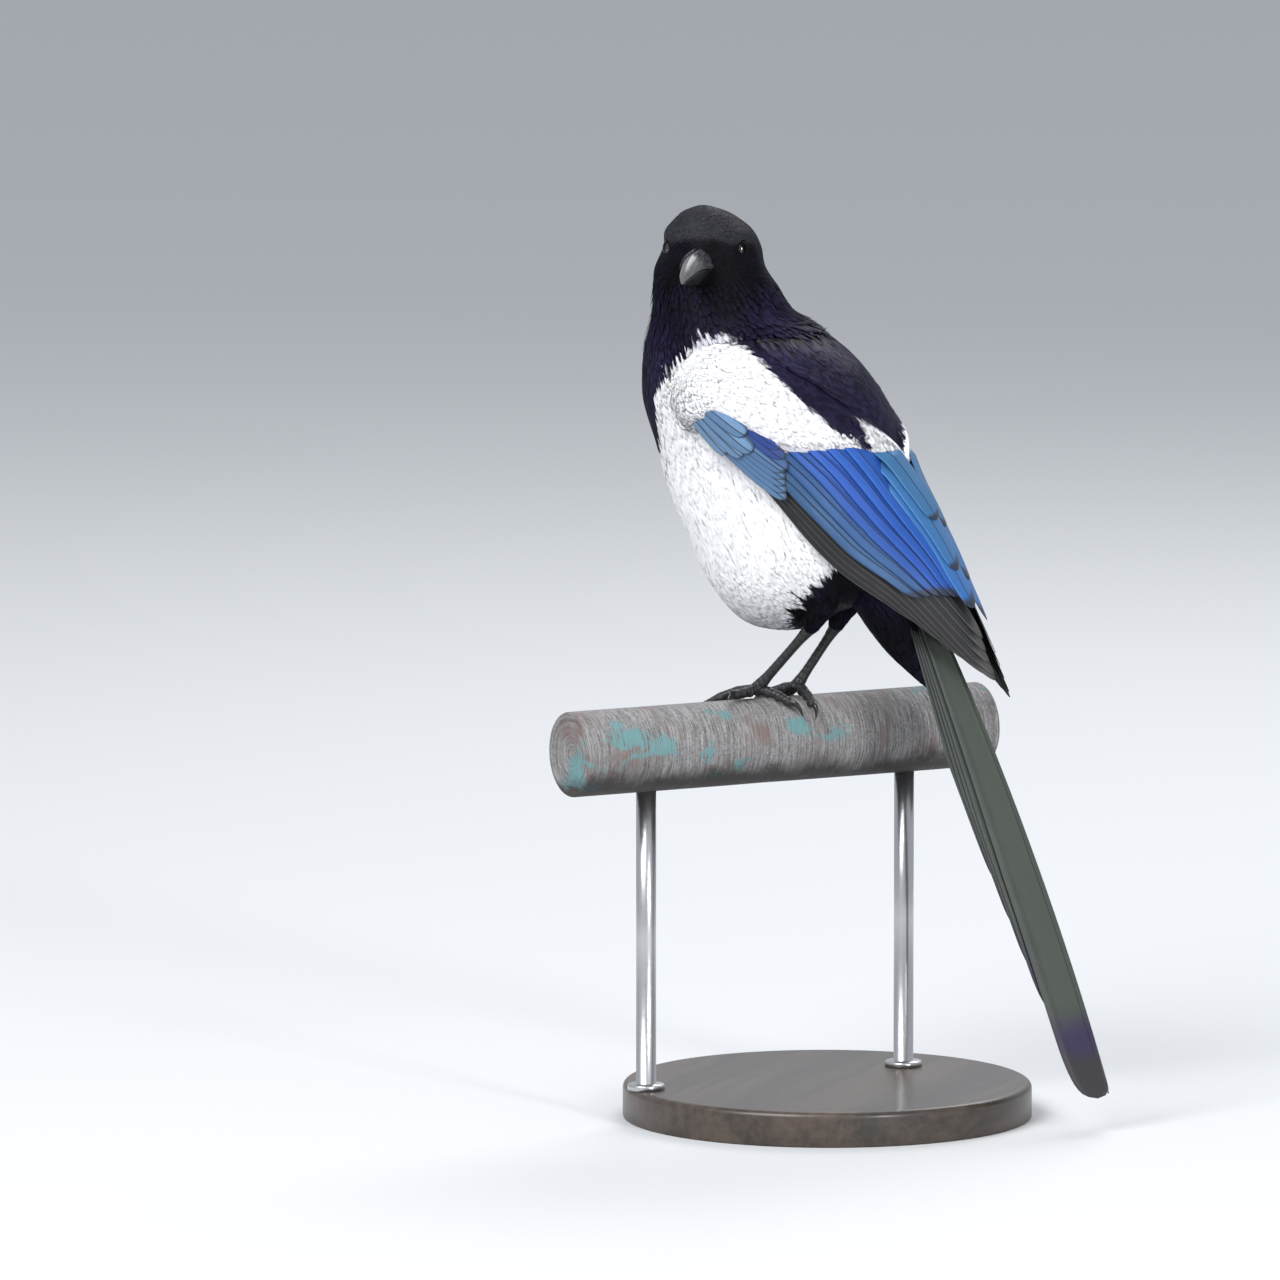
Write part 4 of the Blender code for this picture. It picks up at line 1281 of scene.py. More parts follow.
def coat_tree() -> GeometryBook:
    """The tree that sets tufts on a skin along its lie.

    Returns:
        The tree, whose inputs are named for what they set.
    """
    book = GeometryBook("coat", (
        ("Skin", "NodeSocketGeometry"), ("Region", "NodeSocketInt"), ("Spacing", "NodeSocketFloat"),
        ("Width", "NodeSocketFloat"), ("Height", "NodeSocketFloat"), ("Turn", "NodeSocketFloat"),
        ("Lift", "NodeSocketFloat"), ("Loose", "NodeSocketFloat"),
        ("Seed", "NodeSocketInt"), ("Tufts", "NodeSocketCollection"), ("Finish", "NodeSocketMaterial")))
    same = book.node("FunctionNodeCompare", {"data_type": "INT", "operation": "EQUAL"},
                     {2: book.named("region", "INT"), 3: book.given("Region")})
    skin = book.node("GeometryNodeSeparateGeometry", {"domain": "FACE"},
                     {"Geometry": book.given("Skin"), "Selection": same})
    crowd = book.number("DIVIDE", 1.3, book.number("POWER", book.given("Spacing"), 2.0))
    points = book.node("GeometryNodeDistributePointsOnFaces", {"distribute_method": "POISSON"},
                       {"Mesh": skin, "Distance Min": book.given("Spacing"), "Density Max": crowd,
                        "Seed": book.given("Seed")})
    points = book.store(points, "root_place", "FLOAT_VECTOR", "POINT",
                        book.named("OFBake", "FLOAT_VECTOR"))
    points = book.store(points, "shade", "FLOAT", "POINT",
                        book.random(0.0, 1.0, book.number("ADD", book.given("Seed"), 11.0)))
    normal = book.named("skin_normal", "FLOAT_VECTOR")
    lie = book.named("lie", "FLOAT_VECTOR")
    size = book.random(0.78, 1.18, book.number("ADD", book.given("Seed"), 5.0))
    swing = book.random(book.number("MULTIPLY", book.given("Turn"), -1.0), book.given("Turn"),
                        book.number("ADD", book.given("Seed"), 7.0))
    loose = book.random(book.number("SUBTRACT", 1.0, book.given("Loose")),
                        book.number("ADD", 1.0, book.given("Loose")),
                        book.number("ADD", book.given("Seed"), 9.0))
    loose = book.number("MULTIPLY", loose, book.given("Lift"))
    aside = book.vector("SCALE", book.vector("CROSS_PRODUCT", normal, lie), swing)
    long = book.number("MULTIPLY", book.named("coat_length"), size)
    rise = book.number("MULTIPLY", book.number("MULTIPLY", book.named("coat_lift"), loose), long)
    points = book.store(points, "coat_rise", "FLOAT", "POINT", rise)
    ahead = book.vector("ADD", lie, aside)
    turn = book.node("FunctionNodeAxesToRotation", {"primary_axis": "X", "secondary_axis": "Z"},
                     {"Primary Axis": ahead, "Secondary Axis": normal})
    scale = book.node("ShaderNodeCombineXYZ", values={
        0: long, 1: book.number("MULTIPLY", book.given("Width"), size), 2: book.given("Height")})
    tufts = book.node("GeometryNodeCollectionInfo",
                      values={"Collection": book.given("Tufts"), "Separate Children": True,
                              "Reset Children": True})
    choice = book.node("FunctionNodeRandomValue", {"data_type": "INT"},
                       {4: 0, 5: 7, "Seed": book.given("Seed")}, result=2)
    points = book.node("GeometryNodeRemoveAttribute", values={0: points, "Name": "OFBake"})
    stood = book.node("GeometryNodeInstanceOnPoints",
                      values={"Points": points, "Instance": tufts, "Pick Instance": True,
                              "Instance Index": choice, "Rotation": turn, "Scale": scale})
    whole = settled(book, book.node("GeometryNodeRealizeInstances", values={0: stood}))
    patch = book.vector("SCALE", book.named("tuft_place", "FLOAT_VECTOR"), ATLAS_PATCH)
    place = book.vector("ADD", book.named("root_place", "FLOAT_VECTOR"), patch)
    whole = book.store(whole, "OFBake", "FLOAT2", "CORNER", place)
    book.close(book.node("GeometryNodeSetMaterial",
                         values={"Geometry": whole, "Material": book.given("Finish")}))
    return book


def settled(book: GeometryBook, whole: bpy.types.NodeSocket) -> bpy.types.NodeSocket:
    """Bend every tuft to the skin's curve, at its own height above it.

    Args:
        book: The coat's tree.
        whole: The realized tufts.

    Returns:
        The tufts, moved along the skin's normals.
    """
    on_skin = book.node("FunctionNodeCompare", {"data_type": "INT", "operation": "LESS_THAN"},
                        {2: book.named("region", "INT"), 3: BARE_REGION})
    skin = book.node("GeometryNodeSeparateGeometry", {"domain": "FACE"},
                     {"Geometry": book.given("Skin"), "Selection": on_skin})
    here = book.node("GeometryNodeInputPosition")
    near, normal = (book.node("GeometryNodeSampleNearestSurface", {"data_type": "FLOAT_VECTOR"},
                              {"Mesh": skin, "Value": value})
                    for value in (here, book.named("skin_normal", "FLOAT_VECTOR")))
    off = book.node("ShaderNodeVectorMath", {"operation": "DOT_PRODUCT"},
                    {0: book.vector("SUBTRACT", here, near), 1: normal}, result="Value")
    height = book.number("MULTIPLY", book.named("tuft_height"), book.given("Height"))
    bent = book.number("MULTIPLY", book.named("coat_rise"),
                       book.number("POWER", book.named("along"), 1.3))
    move = book.number("SUBTRACT", book.number("ADD", height, bent), off)
    return book.node("GeometryNodeSetPosition",
                     values={"Geometry": whole, "Offset": book.vector("SCALE", normal, move)})


def trim_attributes(mesh: bpy.types.Mesh, kept: Sequence[str]) -> None:
    """Remove the attributes that only served to place tufts."""
    spare = [a.name for a in mesh.attributes
             if not a.is_internal and not a.is_required and a.name not in kept
             and a.name not in ("OFBake", "sharp_face", "material_index")]
    for name in spare:
        mesh.attributes.remove(mesh.attributes[name])


@dataclass
class Coat:
    """The body's plumage: every field of tufts over the skin."""

    seed: int = 21
    kept: tuple[str, ...] = ("white", "gloss", "velvet", "tint", "shade", "along", "skin_normal")

    def build(self, skin: bpy.types.Object, tree: GeometryBook,
              tufts: dict[str, bpy.types.Collection], finish: bpy.types.Material) -> None:
        """Make each field's piece.

        Args:
            skin: The skin that carries them.
            tree: The tree that sets tufts.
            tufts: The tuft shapes by name.
            finish: The plumage finish.
        """
        for number, coat_field in enumerate(COAT_FIELDS):
            mesh = tree.run(skin, f"coat_{coat_field.name}", {
                "Region": coat_field.region.value, "Spacing": coat_field.spacing * MM,
                "Width": coat_field.width * MM, "Height": coat_field.height * MM,
                "Turn": coat_field.turn, "Lift": coat_field.lift, "Loose": coat_field.loose,
                "Seed": self.seed + number, "Finish": finish, "Tufts": tufts[coat_field.tuft]})
            trim_attributes(mesh, self.kept)
            register(as_object(mesh), coat_field.slot)




# ---- finishes


Colour = tuple[float, float, float]


@dataclass(frozen=True)
class PlumageFinish:
    """Soft body feathers, black or white by the skin's own markings."""

    name: str = "body_plumage"
    black: Colour = (0.003, 0.003, 0.004)
    black_tip: Colour = (0.006, 0.006, 0.009)
    violet: Colour = (0.050, 0.041, 0.120)
    # colour of the painted grey sheen where light falls on the head's black
    velvet: Colour = (0.048, 0.047, 0.058)
    white_tip: Colour = (0.95, 0.95, 0.96)
    # painted shade: the white's roots are greyer so the gaps between tufts look shaded
    white_root_shade: Colour = (0.86, 0.86, 0.89)
    # colour of the painted lavender shade on the white
    lavender_shade: Colour = (0.60, 0.57, 0.74)
    edge_wander: float = 1.6
    normal_share: float = 0.94

    def build(self) -> bpy.types.Material:
        """Make the material."""
        book = ShaderBook(self.name)
        white, shade, along = (book.attribute(key) for key in ("white", "shade", "along"))
        gloss = book.attribute("gloss")
        place = book.place()
        wander = book.noise(place, 190.0, 3.0)
        mark = (white + (wander - 0.5) * self.edge_wander).rise(-0.5, 0.5)
        patch = book.noise(place, 55.0, 2.0).rise(0.35, 0.65)
        sheen = gloss * 0.6 + patch * 0.4
        dark = book.mix(along.rise(0.3, 1.0), self.black, self.black_tip)
        dark = book.mix(sheen * along * (0.45 + shade * 0.5), dark, self.violet)
        soft = book.noise(place, 120.0, 2.0)
        # painted sheen: grey laid over the head's black where light falls on crown, brow and cheeks
        velvet = book.attribute("velvet") * (0.42 + along * 0.25 + shade * 0.2 + soft * 0.3)
        dark = book.mix(velvet, dark, self.velvet)
        # painted shade: greyer towards each white tuft's root, seen in the gaps between tufts
        pale = book.mix((along * 0.8 + soft * 0.5 + shade * 0.2).rise(0.15, 0.95),
                        self.white_root_shade, self.white_tip)
        # painted shade: lavender over the white where the skin's tint share is set
        pale = book.mix(book.attribute("tint") * (0.3 + soft * 0.5), pale, self.lavender_shade)
        own = book.node("ShaderNodeNewGeometry", result="Normal")
        root = book.attribute("skin_normal", "Vector")
        blend = book.node("ShaderNodeMix", {"data_type": "VECTOR"},
                          {0: self.normal_share, 4: own, 5: root}, result=1)
        normal = book.node("ShaderNodeVectorMath", {"operation": "NORMALIZE"}, {0: blend})
        colour = book.mix(mark, dark, pale)
        roughness = 0.52 - gloss * 0.12 + mark * 0.25 + shade * 0.1
        return book.finish(colour, roughness, 0.0, normal, Specular_IOR_Level=0.06)


@dataclass(frozen=True)
class PlainFinish:
    """A simple even finish with a faint unevenness."""

    name: str
    colour: Colour
    roughness: float
    metallic: float = 0.0
    grain: float = 0.0
    specular: float = 0.5

    def build(self) -> bpy.types.Material:
        """Make the material."""
        book = ShaderBook(self.name)
        uneven = book.noise(book.place(), 400.0, 4.0)
        normal = book.bump(uneven, 0.00012, self.grain) if self.grain > 0 else None
        return book.finish(self.colour, self.roughness + (uneven - 0.5) * 0.1, self.metallic, normal,
                           Specular_IOR_Level=self.specular)


@dataclass(frozen=True)
class VaneFinish:
    """Flight feathers and coverts, whose colour changes from feather to feather and along each.

    hues are stops of place and colour that a feather's own hue reads.  inner is the colour of the
    hidden vane, edge the line along its outer rim, and tip its last part.
    """

    name: str
    hues: tuple[tuple[float, Colour], ...]
    inner: Colour
    edge: Colour
    tip: Colour
    inner_from: float = 0.1
    inner_rise: float = 0.35
    inner_share: float = 0.8
    inner_fade: float = 0.0
    tip_from: float = 0.93
    edge_share: float = 0.7
    metallic: float = 0.3
    roughness: float = 0.38
    late: Colour | None = None
    late_from: float = 0.75
    specular: float = 0.4

    def ramp(self, book: ShaderBook, share: Wire) -> Wire:
        """A colour ramp with the finish's hues.

        Args:
            book: The tree's book.
            share: Where it is read.

        Returns:
            The colour.
        """
        made = book.node("ShaderNodeValToRGB", values={0: share})
        stops = made.socket.node.color_ramp.elements
        while len(stops) < len(self.hues):
            stops.new(0.5)
        for stop, (place, colour) in zip(stops, self.hues):
            stop.position = place
            stop.color = (*colour, 1.0)
        return made

    def build(self) -> bpy.types.Material:
        """Make the material."""
        book = ShaderBook(self.name)
        along, across, hue = (book.attribute(key) for key in ("along", "across", "hue"))
        run, reach = book.attribute("run"), book.attribute("reach")
        place = book.place()
        cloud = book.noise(place, 70.0, 3.0)
        colour = self.ramp(book, hue + (cloud - 0.5) * 0.12)
        if self.late is not None:
            colour = book.mix((along + (cloud - 0.5) * 0.06).rise(self.late_from, self.late_from + 0.09),
                              colour, self.late)
        blur = 0.3 if self.inner_rise > 0.2 else 0.05
        hidden = (across + (cloud - 0.5) * blur).rise(self.inner_from, self.inner_from + self.inner_rise)
        share = (1.0 - hue * self.inner_fade).rise(0.25, 1.0) if self.inner_fade else 1.0
        colour = book.mix(hidden * self.inner_share * share, colour, self.inner)
        barb = (run - reach.size() * 1.3) * 16.0
        fine = barb.sine() * 0.5 + 0.5
        colour = book.mix(fine * 0.10, colour, (0.0, 0.0, 0.0))
        shaft = 1.0 - reach.size().rise(0.12, 0.3)
        colour = book.mix(shaft * 0.75, colour, (0.012, 0.011, 0.012))
        rim = (-across).rise(0.90, 0.97)
        colour = book.mix(rim * self.edge_share, colour, self.edge)
        end = (along + across.size() * 0.02).rise(self.tip_from, self.tip_from + 0.04)
        colour = book.mix(end, colour, self.tip)
        normal = book.bump(fine, 0.00005, 0.5)
        roughness = self.roughness + (cloud - 0.5) * 0.2
        return book.finish(colour, roughness, self.metallic * (1.0 - end * 0.6), normal,
                           Specular_IOR_Level=self.specular)


VANE_FINISHES = (
    VaneFinish("primary", ((0.0, (0.020, 0.021, 0.023)), (0.5, (0.026, 0.025, 0.024)),
                           (1.0, (0.024, 0.030, 0.045))),
               (0.004, 0.004, 0.005), (0.13, 0.127, 0.127), (0.05, 0.048, 0.046), metallic=0.05,
               roughness=0.5, inner_from=-0.84, inner_rise=0.14, inner_share=0.9),
    VaneFinish("secondary", ((0.0, (0.034, 0.088, 0.19)), (0.12, (0.026, 0.078, 0.21)),
                             (0.25, (0.016, 0.07, 0.33)), (0.5, (0.020, 0.10, 0.42)),
                             (0.72, (0.045, 0.18, 0.46)), (1.0, (0.05, 0.17, 0.36))),
               (0.014, 0.020, 0.036), (0.008, 0.015, 0.06), (0.02, 0.028, 0.055), metallic=0.35,
               roughness=0.38, inner_from=0.2, inner_rise=0.5, inner_share=0.85, inner_fade=1.3,
               edge_share=0.4),
    VaneFinish("covert", ((0.0, (0.13, 0.22, 0.35)), (0.12, (0.10, 0.19, 0.32)),
                          (0.35, (0.07, 0.14, 0.27)), (0.6, (0.02, 0.045, 0.20)),
                          (1.0, (0.02, 0.06, 0.28))),
               (0.03, 0.05, 0.09), (0.05, 0.08, 0.13), (0.035, 0.05, 0.08), metallic=0.3,
               roughness=0.42, inner_from=0.5, tip_from=0.965, edge_share=0.22),
    VaneFinish("tail", ((0.0, (0.086, 0.098, 0.08)), (0.2, (0.076, 0.09, 0.074)),
                        (0.6, (0.05, 0.06, 0.055)), (1.0, (0.015, 0.02, 0.04))),
               (0.03, 0.032, 0.035), (0.03, 0.07, 0.03), (0.035, 0.032, 0.035), metallic=0.35,
               roughness=0.42, inner_from=0.6, inner_share=0.5, late=(0.045, 0.035, 0.085),
               late_from=0.8, tip_from=0.9),
    VaneFinish("covert_black", ((0.0, (0.003, 0.003, 0.004)), (1.0, (0.005, 0.005, 0.008))),
               (0.003, 0.003, 0.004), (0.004, 0.004, 0.006), (0.004, 0.004, 0.006), metallic=0.0,
               roughness=0.6, specular=0.15),
)


# ---- wings


@dataclass
class WingChart:
    """A folded wing's own map: u runs from wrist to tip, w from the lower edge to the back.

    side is 1 for the bird's left wing and -1 for its right one, which hangs lower towards its tip.
    """

    side: int
    lower_edge: tuple = (
        (0.00, 30.0, -33.0, 136.0), (0.10, 38.0, -22.8, 123.0), (0.25, 42.0, -3.0, 103.7),
        (0.40, 42.0, 17.8, 85.0), (0.57, 39.0, 39.7, 61.5), (0.69, 34.0, 58.2, 48.0),
        (0.77, 29.0, 67.9, 39.0), (0.91, 20.0, 84.7, 21.6), (1.00, 14.0, 96.6, 11.7))
    upper_edge: tuple = (
        (0.00, 22.0, -22.0, 147.0), (0.10, 25.0, -4.0, 147.0), (0.25, 18.0, 19.0, 134.0),
        (0.40, 10.0, 41.0, 114.0), (0.57, 5.0, 60.0, 90.0), (0.69, 4.0, 71.0, 71.0),
        (0.77, 4.5, 78.0, 58.0), (0.91, 6.0, 91.0, 34.0), (1.00, 8.0, 100.0, 17.0))
    depth: float = 7.0
    clearance: float = 1.0
    droop: float = 9.0
    columns: int = 141
    rows: int = 91
    w_low: float = -0.2
    w_high: float = 1.25

    def __post_init__(self) -> None:
        """Work out the inner face and its outward directions once, on a grid."""
        u = np.linspace(0.0, 1.0, self.columns)
        w = np.linspace(self.w_low, self.w_high, self.rows)
        grid_u, grid_w = np.meshgrid(u, w, indexing="ij")
        self.inner = self.base(grid_u, grid_w)
        down = np.gradient(self.inner, axis=0)
        across = np.gradient(self.inner, axis=1)
        out = unit(np.cross(down, across))
        self.out = np.where(out[..., :1] < 0, -out, out)

    def base(self, u: Array, w: Array) -> Array:
        """The wing's inner face, which clears the body.

        Args:
            u: Places along the wing.
            w: Places across it.

        Returns:
            Points in mm, on the bird's left.
        """
        low, high = read_table(self.lower_edge, u), read_table(self.upper_edge, u)
        chord = high - low
        ahead = (read_table(self.lower_edge, np.minimum(u + 0.03, 1.0))
                 - read_table(self.lower_edge, np.maximum(u - 0.03, 0.0)))
        out = unit(np.cross(ahead, chord))
        out = np.where(out[..., :1] < 0, -out, out)
        bow = np.linalg.norm(chord, axis=-1) * 0.16 * 4 * w * (1 - w)
        point = low + chord * w[..., None] + out * (bow - self.depth)[..., None]
        heights = point[..., 2]
        aside = point[..., 1] - BODY.middle(heights)
        angle = np.arctan2(aside, point[..., 0])
        reach = np.hypot(point[..., 0], aside)
        clear = smooth_max(reach, BODY.reach(heights, angle) + self.clearance, 1.5)
        reach = np.where(heights > BODY.bottom + 1.0, clear, reach)
        return np.stack((reach * np.cos(angle), aside * 0 + BODY.middle(heights)
                         + reach * np.sin(angle), heights), -1)

    def read(self, grid: Array, u: Array, w: Array) -> Array:
        """Read a grid between its points.

        Args:
            grid: One of the chart's grids.
            u: Places along the wing.
            w: Places across it.

        Returns:
            The values there.
        """
        x = np.clip(u, 0.0, 1.0) * (self.columns - 1)
        y = np.clip((w - self.w_low) / (self.w_high - self.w_low), 0.0, 1.0) * (self.rows - 1)
        i = np.minimum(x.astype(int), self.columns - 2)
        j = np.minimum(y.astype(int), self.rows - 2)
        a, b = (x - i)[..., None], (y - j)[..., None]
        return (grid[i, j] * (1 - a) * (1 - b) + grid[i + 1, j] * a * (1 - b)
                + grid[i, j + 1] * (1 - a) * b + grid[i + 1, j + 1] * a * b)

    def point(self, u: Array, w: Array, lift: Array) -> Array:
        """Points over the wing's inner face.

        Args:
            u: Places along the wing.
            w: Places across it.
            lift: Height over the inner face, in mm.

        Returns:
            Points in mm, on this wing's own side.
        """
        u, w, lift = np.broadcast_arrays(np.asarray(u, float), np.asarray(w, float),
                                         np.asarray(lift, float))
        made = self.read(self.inner, u, w) + unit(self.read(self.out, u, w)) * lift[..., None]
        if self.side < 0:
            made = made * np.array((-1.0, 1.0, 1.0))
            made[..., 2] -= self.droop * u * u
        return made

    def width(self, u: Array) -> Array:
        """Straight distance between the wing's two edges, in mm."""
        return np.linalg.norm(read_table(self.upper_edge, u) - read_table(self.lower_edge, u), axis=-1)


LONG_OUTLINE = ((0.0, 0.45), (0.15, 0.72), (0.35, 0.95), (0.6, 1.0), (0.8, 0.96), (0.9, 0.84),
                (0.96, 0.62), (0.99, 0.34), (1.0, 0.10))
POINTED_OUTLINE = ((0.0, 0.5), (0.2, 0.85), (0.45, 1.0), (0.7, 0.94), (0.85, 0.76), (0.94, 0.5),
                   (0.985, 0.24), (1.0, 0.06))
ROUND_OUTLINE = ((0.0, 0.45), (0.3, 0.9), (0.6, 1.0), (0.8, 0.98), (0.9, 0.84), (0.96, 0.62),
                 (0.99, 0.34), (1.0, 0.10))
FINE_COLUMNS = (-1.0, -0.8, -0.5, -0.22, -0.05, 0.0, 0.05, 0.22, 0.5, 0.8, 1.0)


@dataclass(frozen=True)
class Quill:
    """One flight feather or covert: its root and tip, its width and how it lies.

    root and tip are places on a chart, half_width is in mm, and tilt is how much higher its lower
    edge stands.  shaft is the shaft's place across it, and hue picks its colour in its finish.
    """

    root: tuple[float, float]
    tip: tuple[float, float]
    half_width: float
    lift: float
    tilt: float
    hue: float
    outline: tuple = LONG_OUTLINE
    shaft: float = -0.25
    bend: float = 0.0
    sink: float = 1.6


class FeatherBatch:
    """Many closed thin vanes gathered into one mesh, each with its own place on the atlas."""

    def __init__(self, name: str, cells: int, rows: int = 30, thickness: float = 0.26,
                 seed: int = 4) -> None:
        """Start a batch.

        Args:
            name: The finished piece's name.
            cells: Cells along one side of the atlas.
            rows: Stations along a vane.
            thickness: Thickness at the shaft, in mm.
            seed: Seed of the small differences between vanes.
        """
        self.name, self.cells, self.rows, self.thickness = name, cells, rows, thickness
        self.chance = np.random.default_rng(seed)
        self.points: list[Array] = []
        self.faces: list[Array] = []
        self.values: dict[str, list[Array]] = {"along": [], "across": [], "hue": [], "run": [],
                                               "reach": []}
        self.places: list[Array] = []
        self.count = 0

    def split_edge(self, t: Array, width: Array) -> Array:
        """Give a vane's outline the small steps of real barbs that have parted.

        Args:
            t: Stations along the vane.
            width: The outline there.

        Returns:
            The changed outline.
        """
        wave = self.chance.uniform(0, 2 * pi)
        changed = width * (1.0 + 0.018 * np.sin(t * 21.0 + wave))
        if self.chance.random() < 0.45:
            at = self.chance.uniform(0.45, 0.9)
            changed = changed * (1.0 - 0.10 * np.exp(-((t - at) / 0.012) ** 2))
        return changed

    def lay(self, quill: Quill, place: Callable[[Array, Array, Array], Array]) -> None:
        """Add a vane.

        Args:
            quill: The feather.
            place: Gives points for arrays of t along, mm across from the middle line, and lift.
        """
        t = 0.5 - 0.5 * np.cos(pi * np.linspace(0.0, 1.0, self.rows) ** 1.0)
        t = 0.55 * np.linspace(0.0, 1.0, self.rows) + 0.45 * t
        outline = read_table(quill.outline, t)[:, 0]
        columns = np.array(FINE_COLUMNS)
        own = np.where(columns < 0, columns * (1.0 + quill.shaft), columns * (1.0 - quill.shaft))
        across = own + quill.shaft
        grid_t = np.repeat(t[:, None], len(columns), 1)
        edge = np.stack([self.split_edge(t, outline) if k < len(columns) // 2 else outline
                         for k in range(len(columns))], 1)
        middle = quill.shaft * outline[:, None]
        spread = np.where(columns < 0, (1.0 + quill.shaft), (1.0 - quill.shaft))[None] * columns[None]
        mm_across = (middle + spread * edge) * quill.half_width
        ridge = np.where(np.abs(columns) < 0.01, 0.30, 0.0)[None] * (1.15 - t)[:, None]
        arch = 0.45 * (1.0 - columns[None] ** 2) * outline[:, None]
        top = quill.lift + arch + ridge
        thick = self.thickness * (1.0 - 0.6 * np.abs(columns))[None] + 0.0 * grid_t
        upper = place(grid_t, mm_across, top)
        lower = place(grid_t, mm_across, top - ridge - thick)
        count = upper.shape[0] * upper.shape[1]
        points = np.concatenate((upper.reshape(-1, 3), lower.reshape(-1, 3)))
        faces = self.shell_faces(*upper.shape[:2])
        triangles = np.concatenate((faces[:, (0, 1, 2)], faces[:, (0, 2, 3)]))
        if signed_volume(points, triangles) < 0:
            faces = faces[:, ::-1]
        start = sum(len(block) for block in self.points)
        self.points.append(points)
        self.faces.append(faces + start)
        run = np.concatenate(([0.0], np.cumsum(np.linalg.norm(np.diff(
            upper[:, len(columns) // 2], axis=0), axis=1))))
        for key, grid in (("along", grid_t), ("across", np.repeat(columns[None], len(t), 0)),
                          ("run", np.repeat(run[:, None], len(columns), 1)),
                          ("reach", mm_across - middle * quill.half_width)):
            self.values[key].append(np.tile(grid.reshape(-1), 2))
        self.values["hue"].append(np.full(2 * count, quill.hue))
        cell = np.array((self.count % self.cells, self.count // self.cells))
        flat = np.stack((0.05 + 0.42 * (across + 1.0)[None] / 2 + 0.0 * grid_t,
                         0.03 + 0.94 * grid_t), -1)
        under = flat + np.array((0.5, 0.0))
        self.places.append((np.concatenate((flat.reshape(-1, 2), under.reshape(-1, 2))) + cell)
                           / self.cells)
        self.count += 1

    @staticmethod
    def shell_faces(rows: int, columns: int) -> Array:
        """Faces of a closed shell over an upper and a lower grid.

        Args:
            rows: Rows in each grid.
            columns: Columns in each grid.

        Returns:
            Four-sided faces.
        """
        index = np.arange(rows * columns).reshape(rows, columns)
        under = index + rows * columns
        faces = []
        for grid, flip in ((index, False), (under, True)):
            quads = np.stack((grid[:-1, :-1], grid[1:, :-1], grid[1:, 1:], grid[:-1, 1:]), -1)
            faces.append((quads[..., ::-1] if flip else quads).reshape(-1, 4))
        for a, b in ((index[:, 0], under[:, 0]), (index[::-1, -1], under[::-1, -1]),
                     (index[0, ::-1], under[0, ::-1]), (index[-1], under[-1])):
            faces.append(np.stack((a[:-1], b[:-1], b[1:], a[1:]), -1))
        return np.concatenate(faces)

    def build(self, finish: bpy.types.Material, slot: str, *nodes: str) -> bpy.types.Object:
        """Make the piece.

        Args:
            finish: Its finish.
            slot: The record's material slot.
            nodes: The solids that it stands for.

        Returns:
            The piece.
        """
        faces = np.concatenate(self.faces)
        mesh = solid_mesh(self.name, to_world(np.concatenate(self.points)), faces)
        for key, blocks in self.values.items():
            put(mesh, key, "FLOAT", "POINT", np.concatenate(blocks).astype(np.float32))
        layer = mesh.uv_layers.new(name="OFBake")
        corners = np.concatenate(self.places)[faces.ravel()]
        layer.uv.foreach_set("vector", np.ascontiguousarray(corners, dtype=np.float32).ravel())
        made = as_object(mesh, finish)
        register(made, slot, *nodes)
        return made


def spread_table(rows: Sequence[Sequence[float]], share: float) -> float:
    """Read one number from a short table."""
    return float(read_table(rows, np.array([share]))[0, 0])


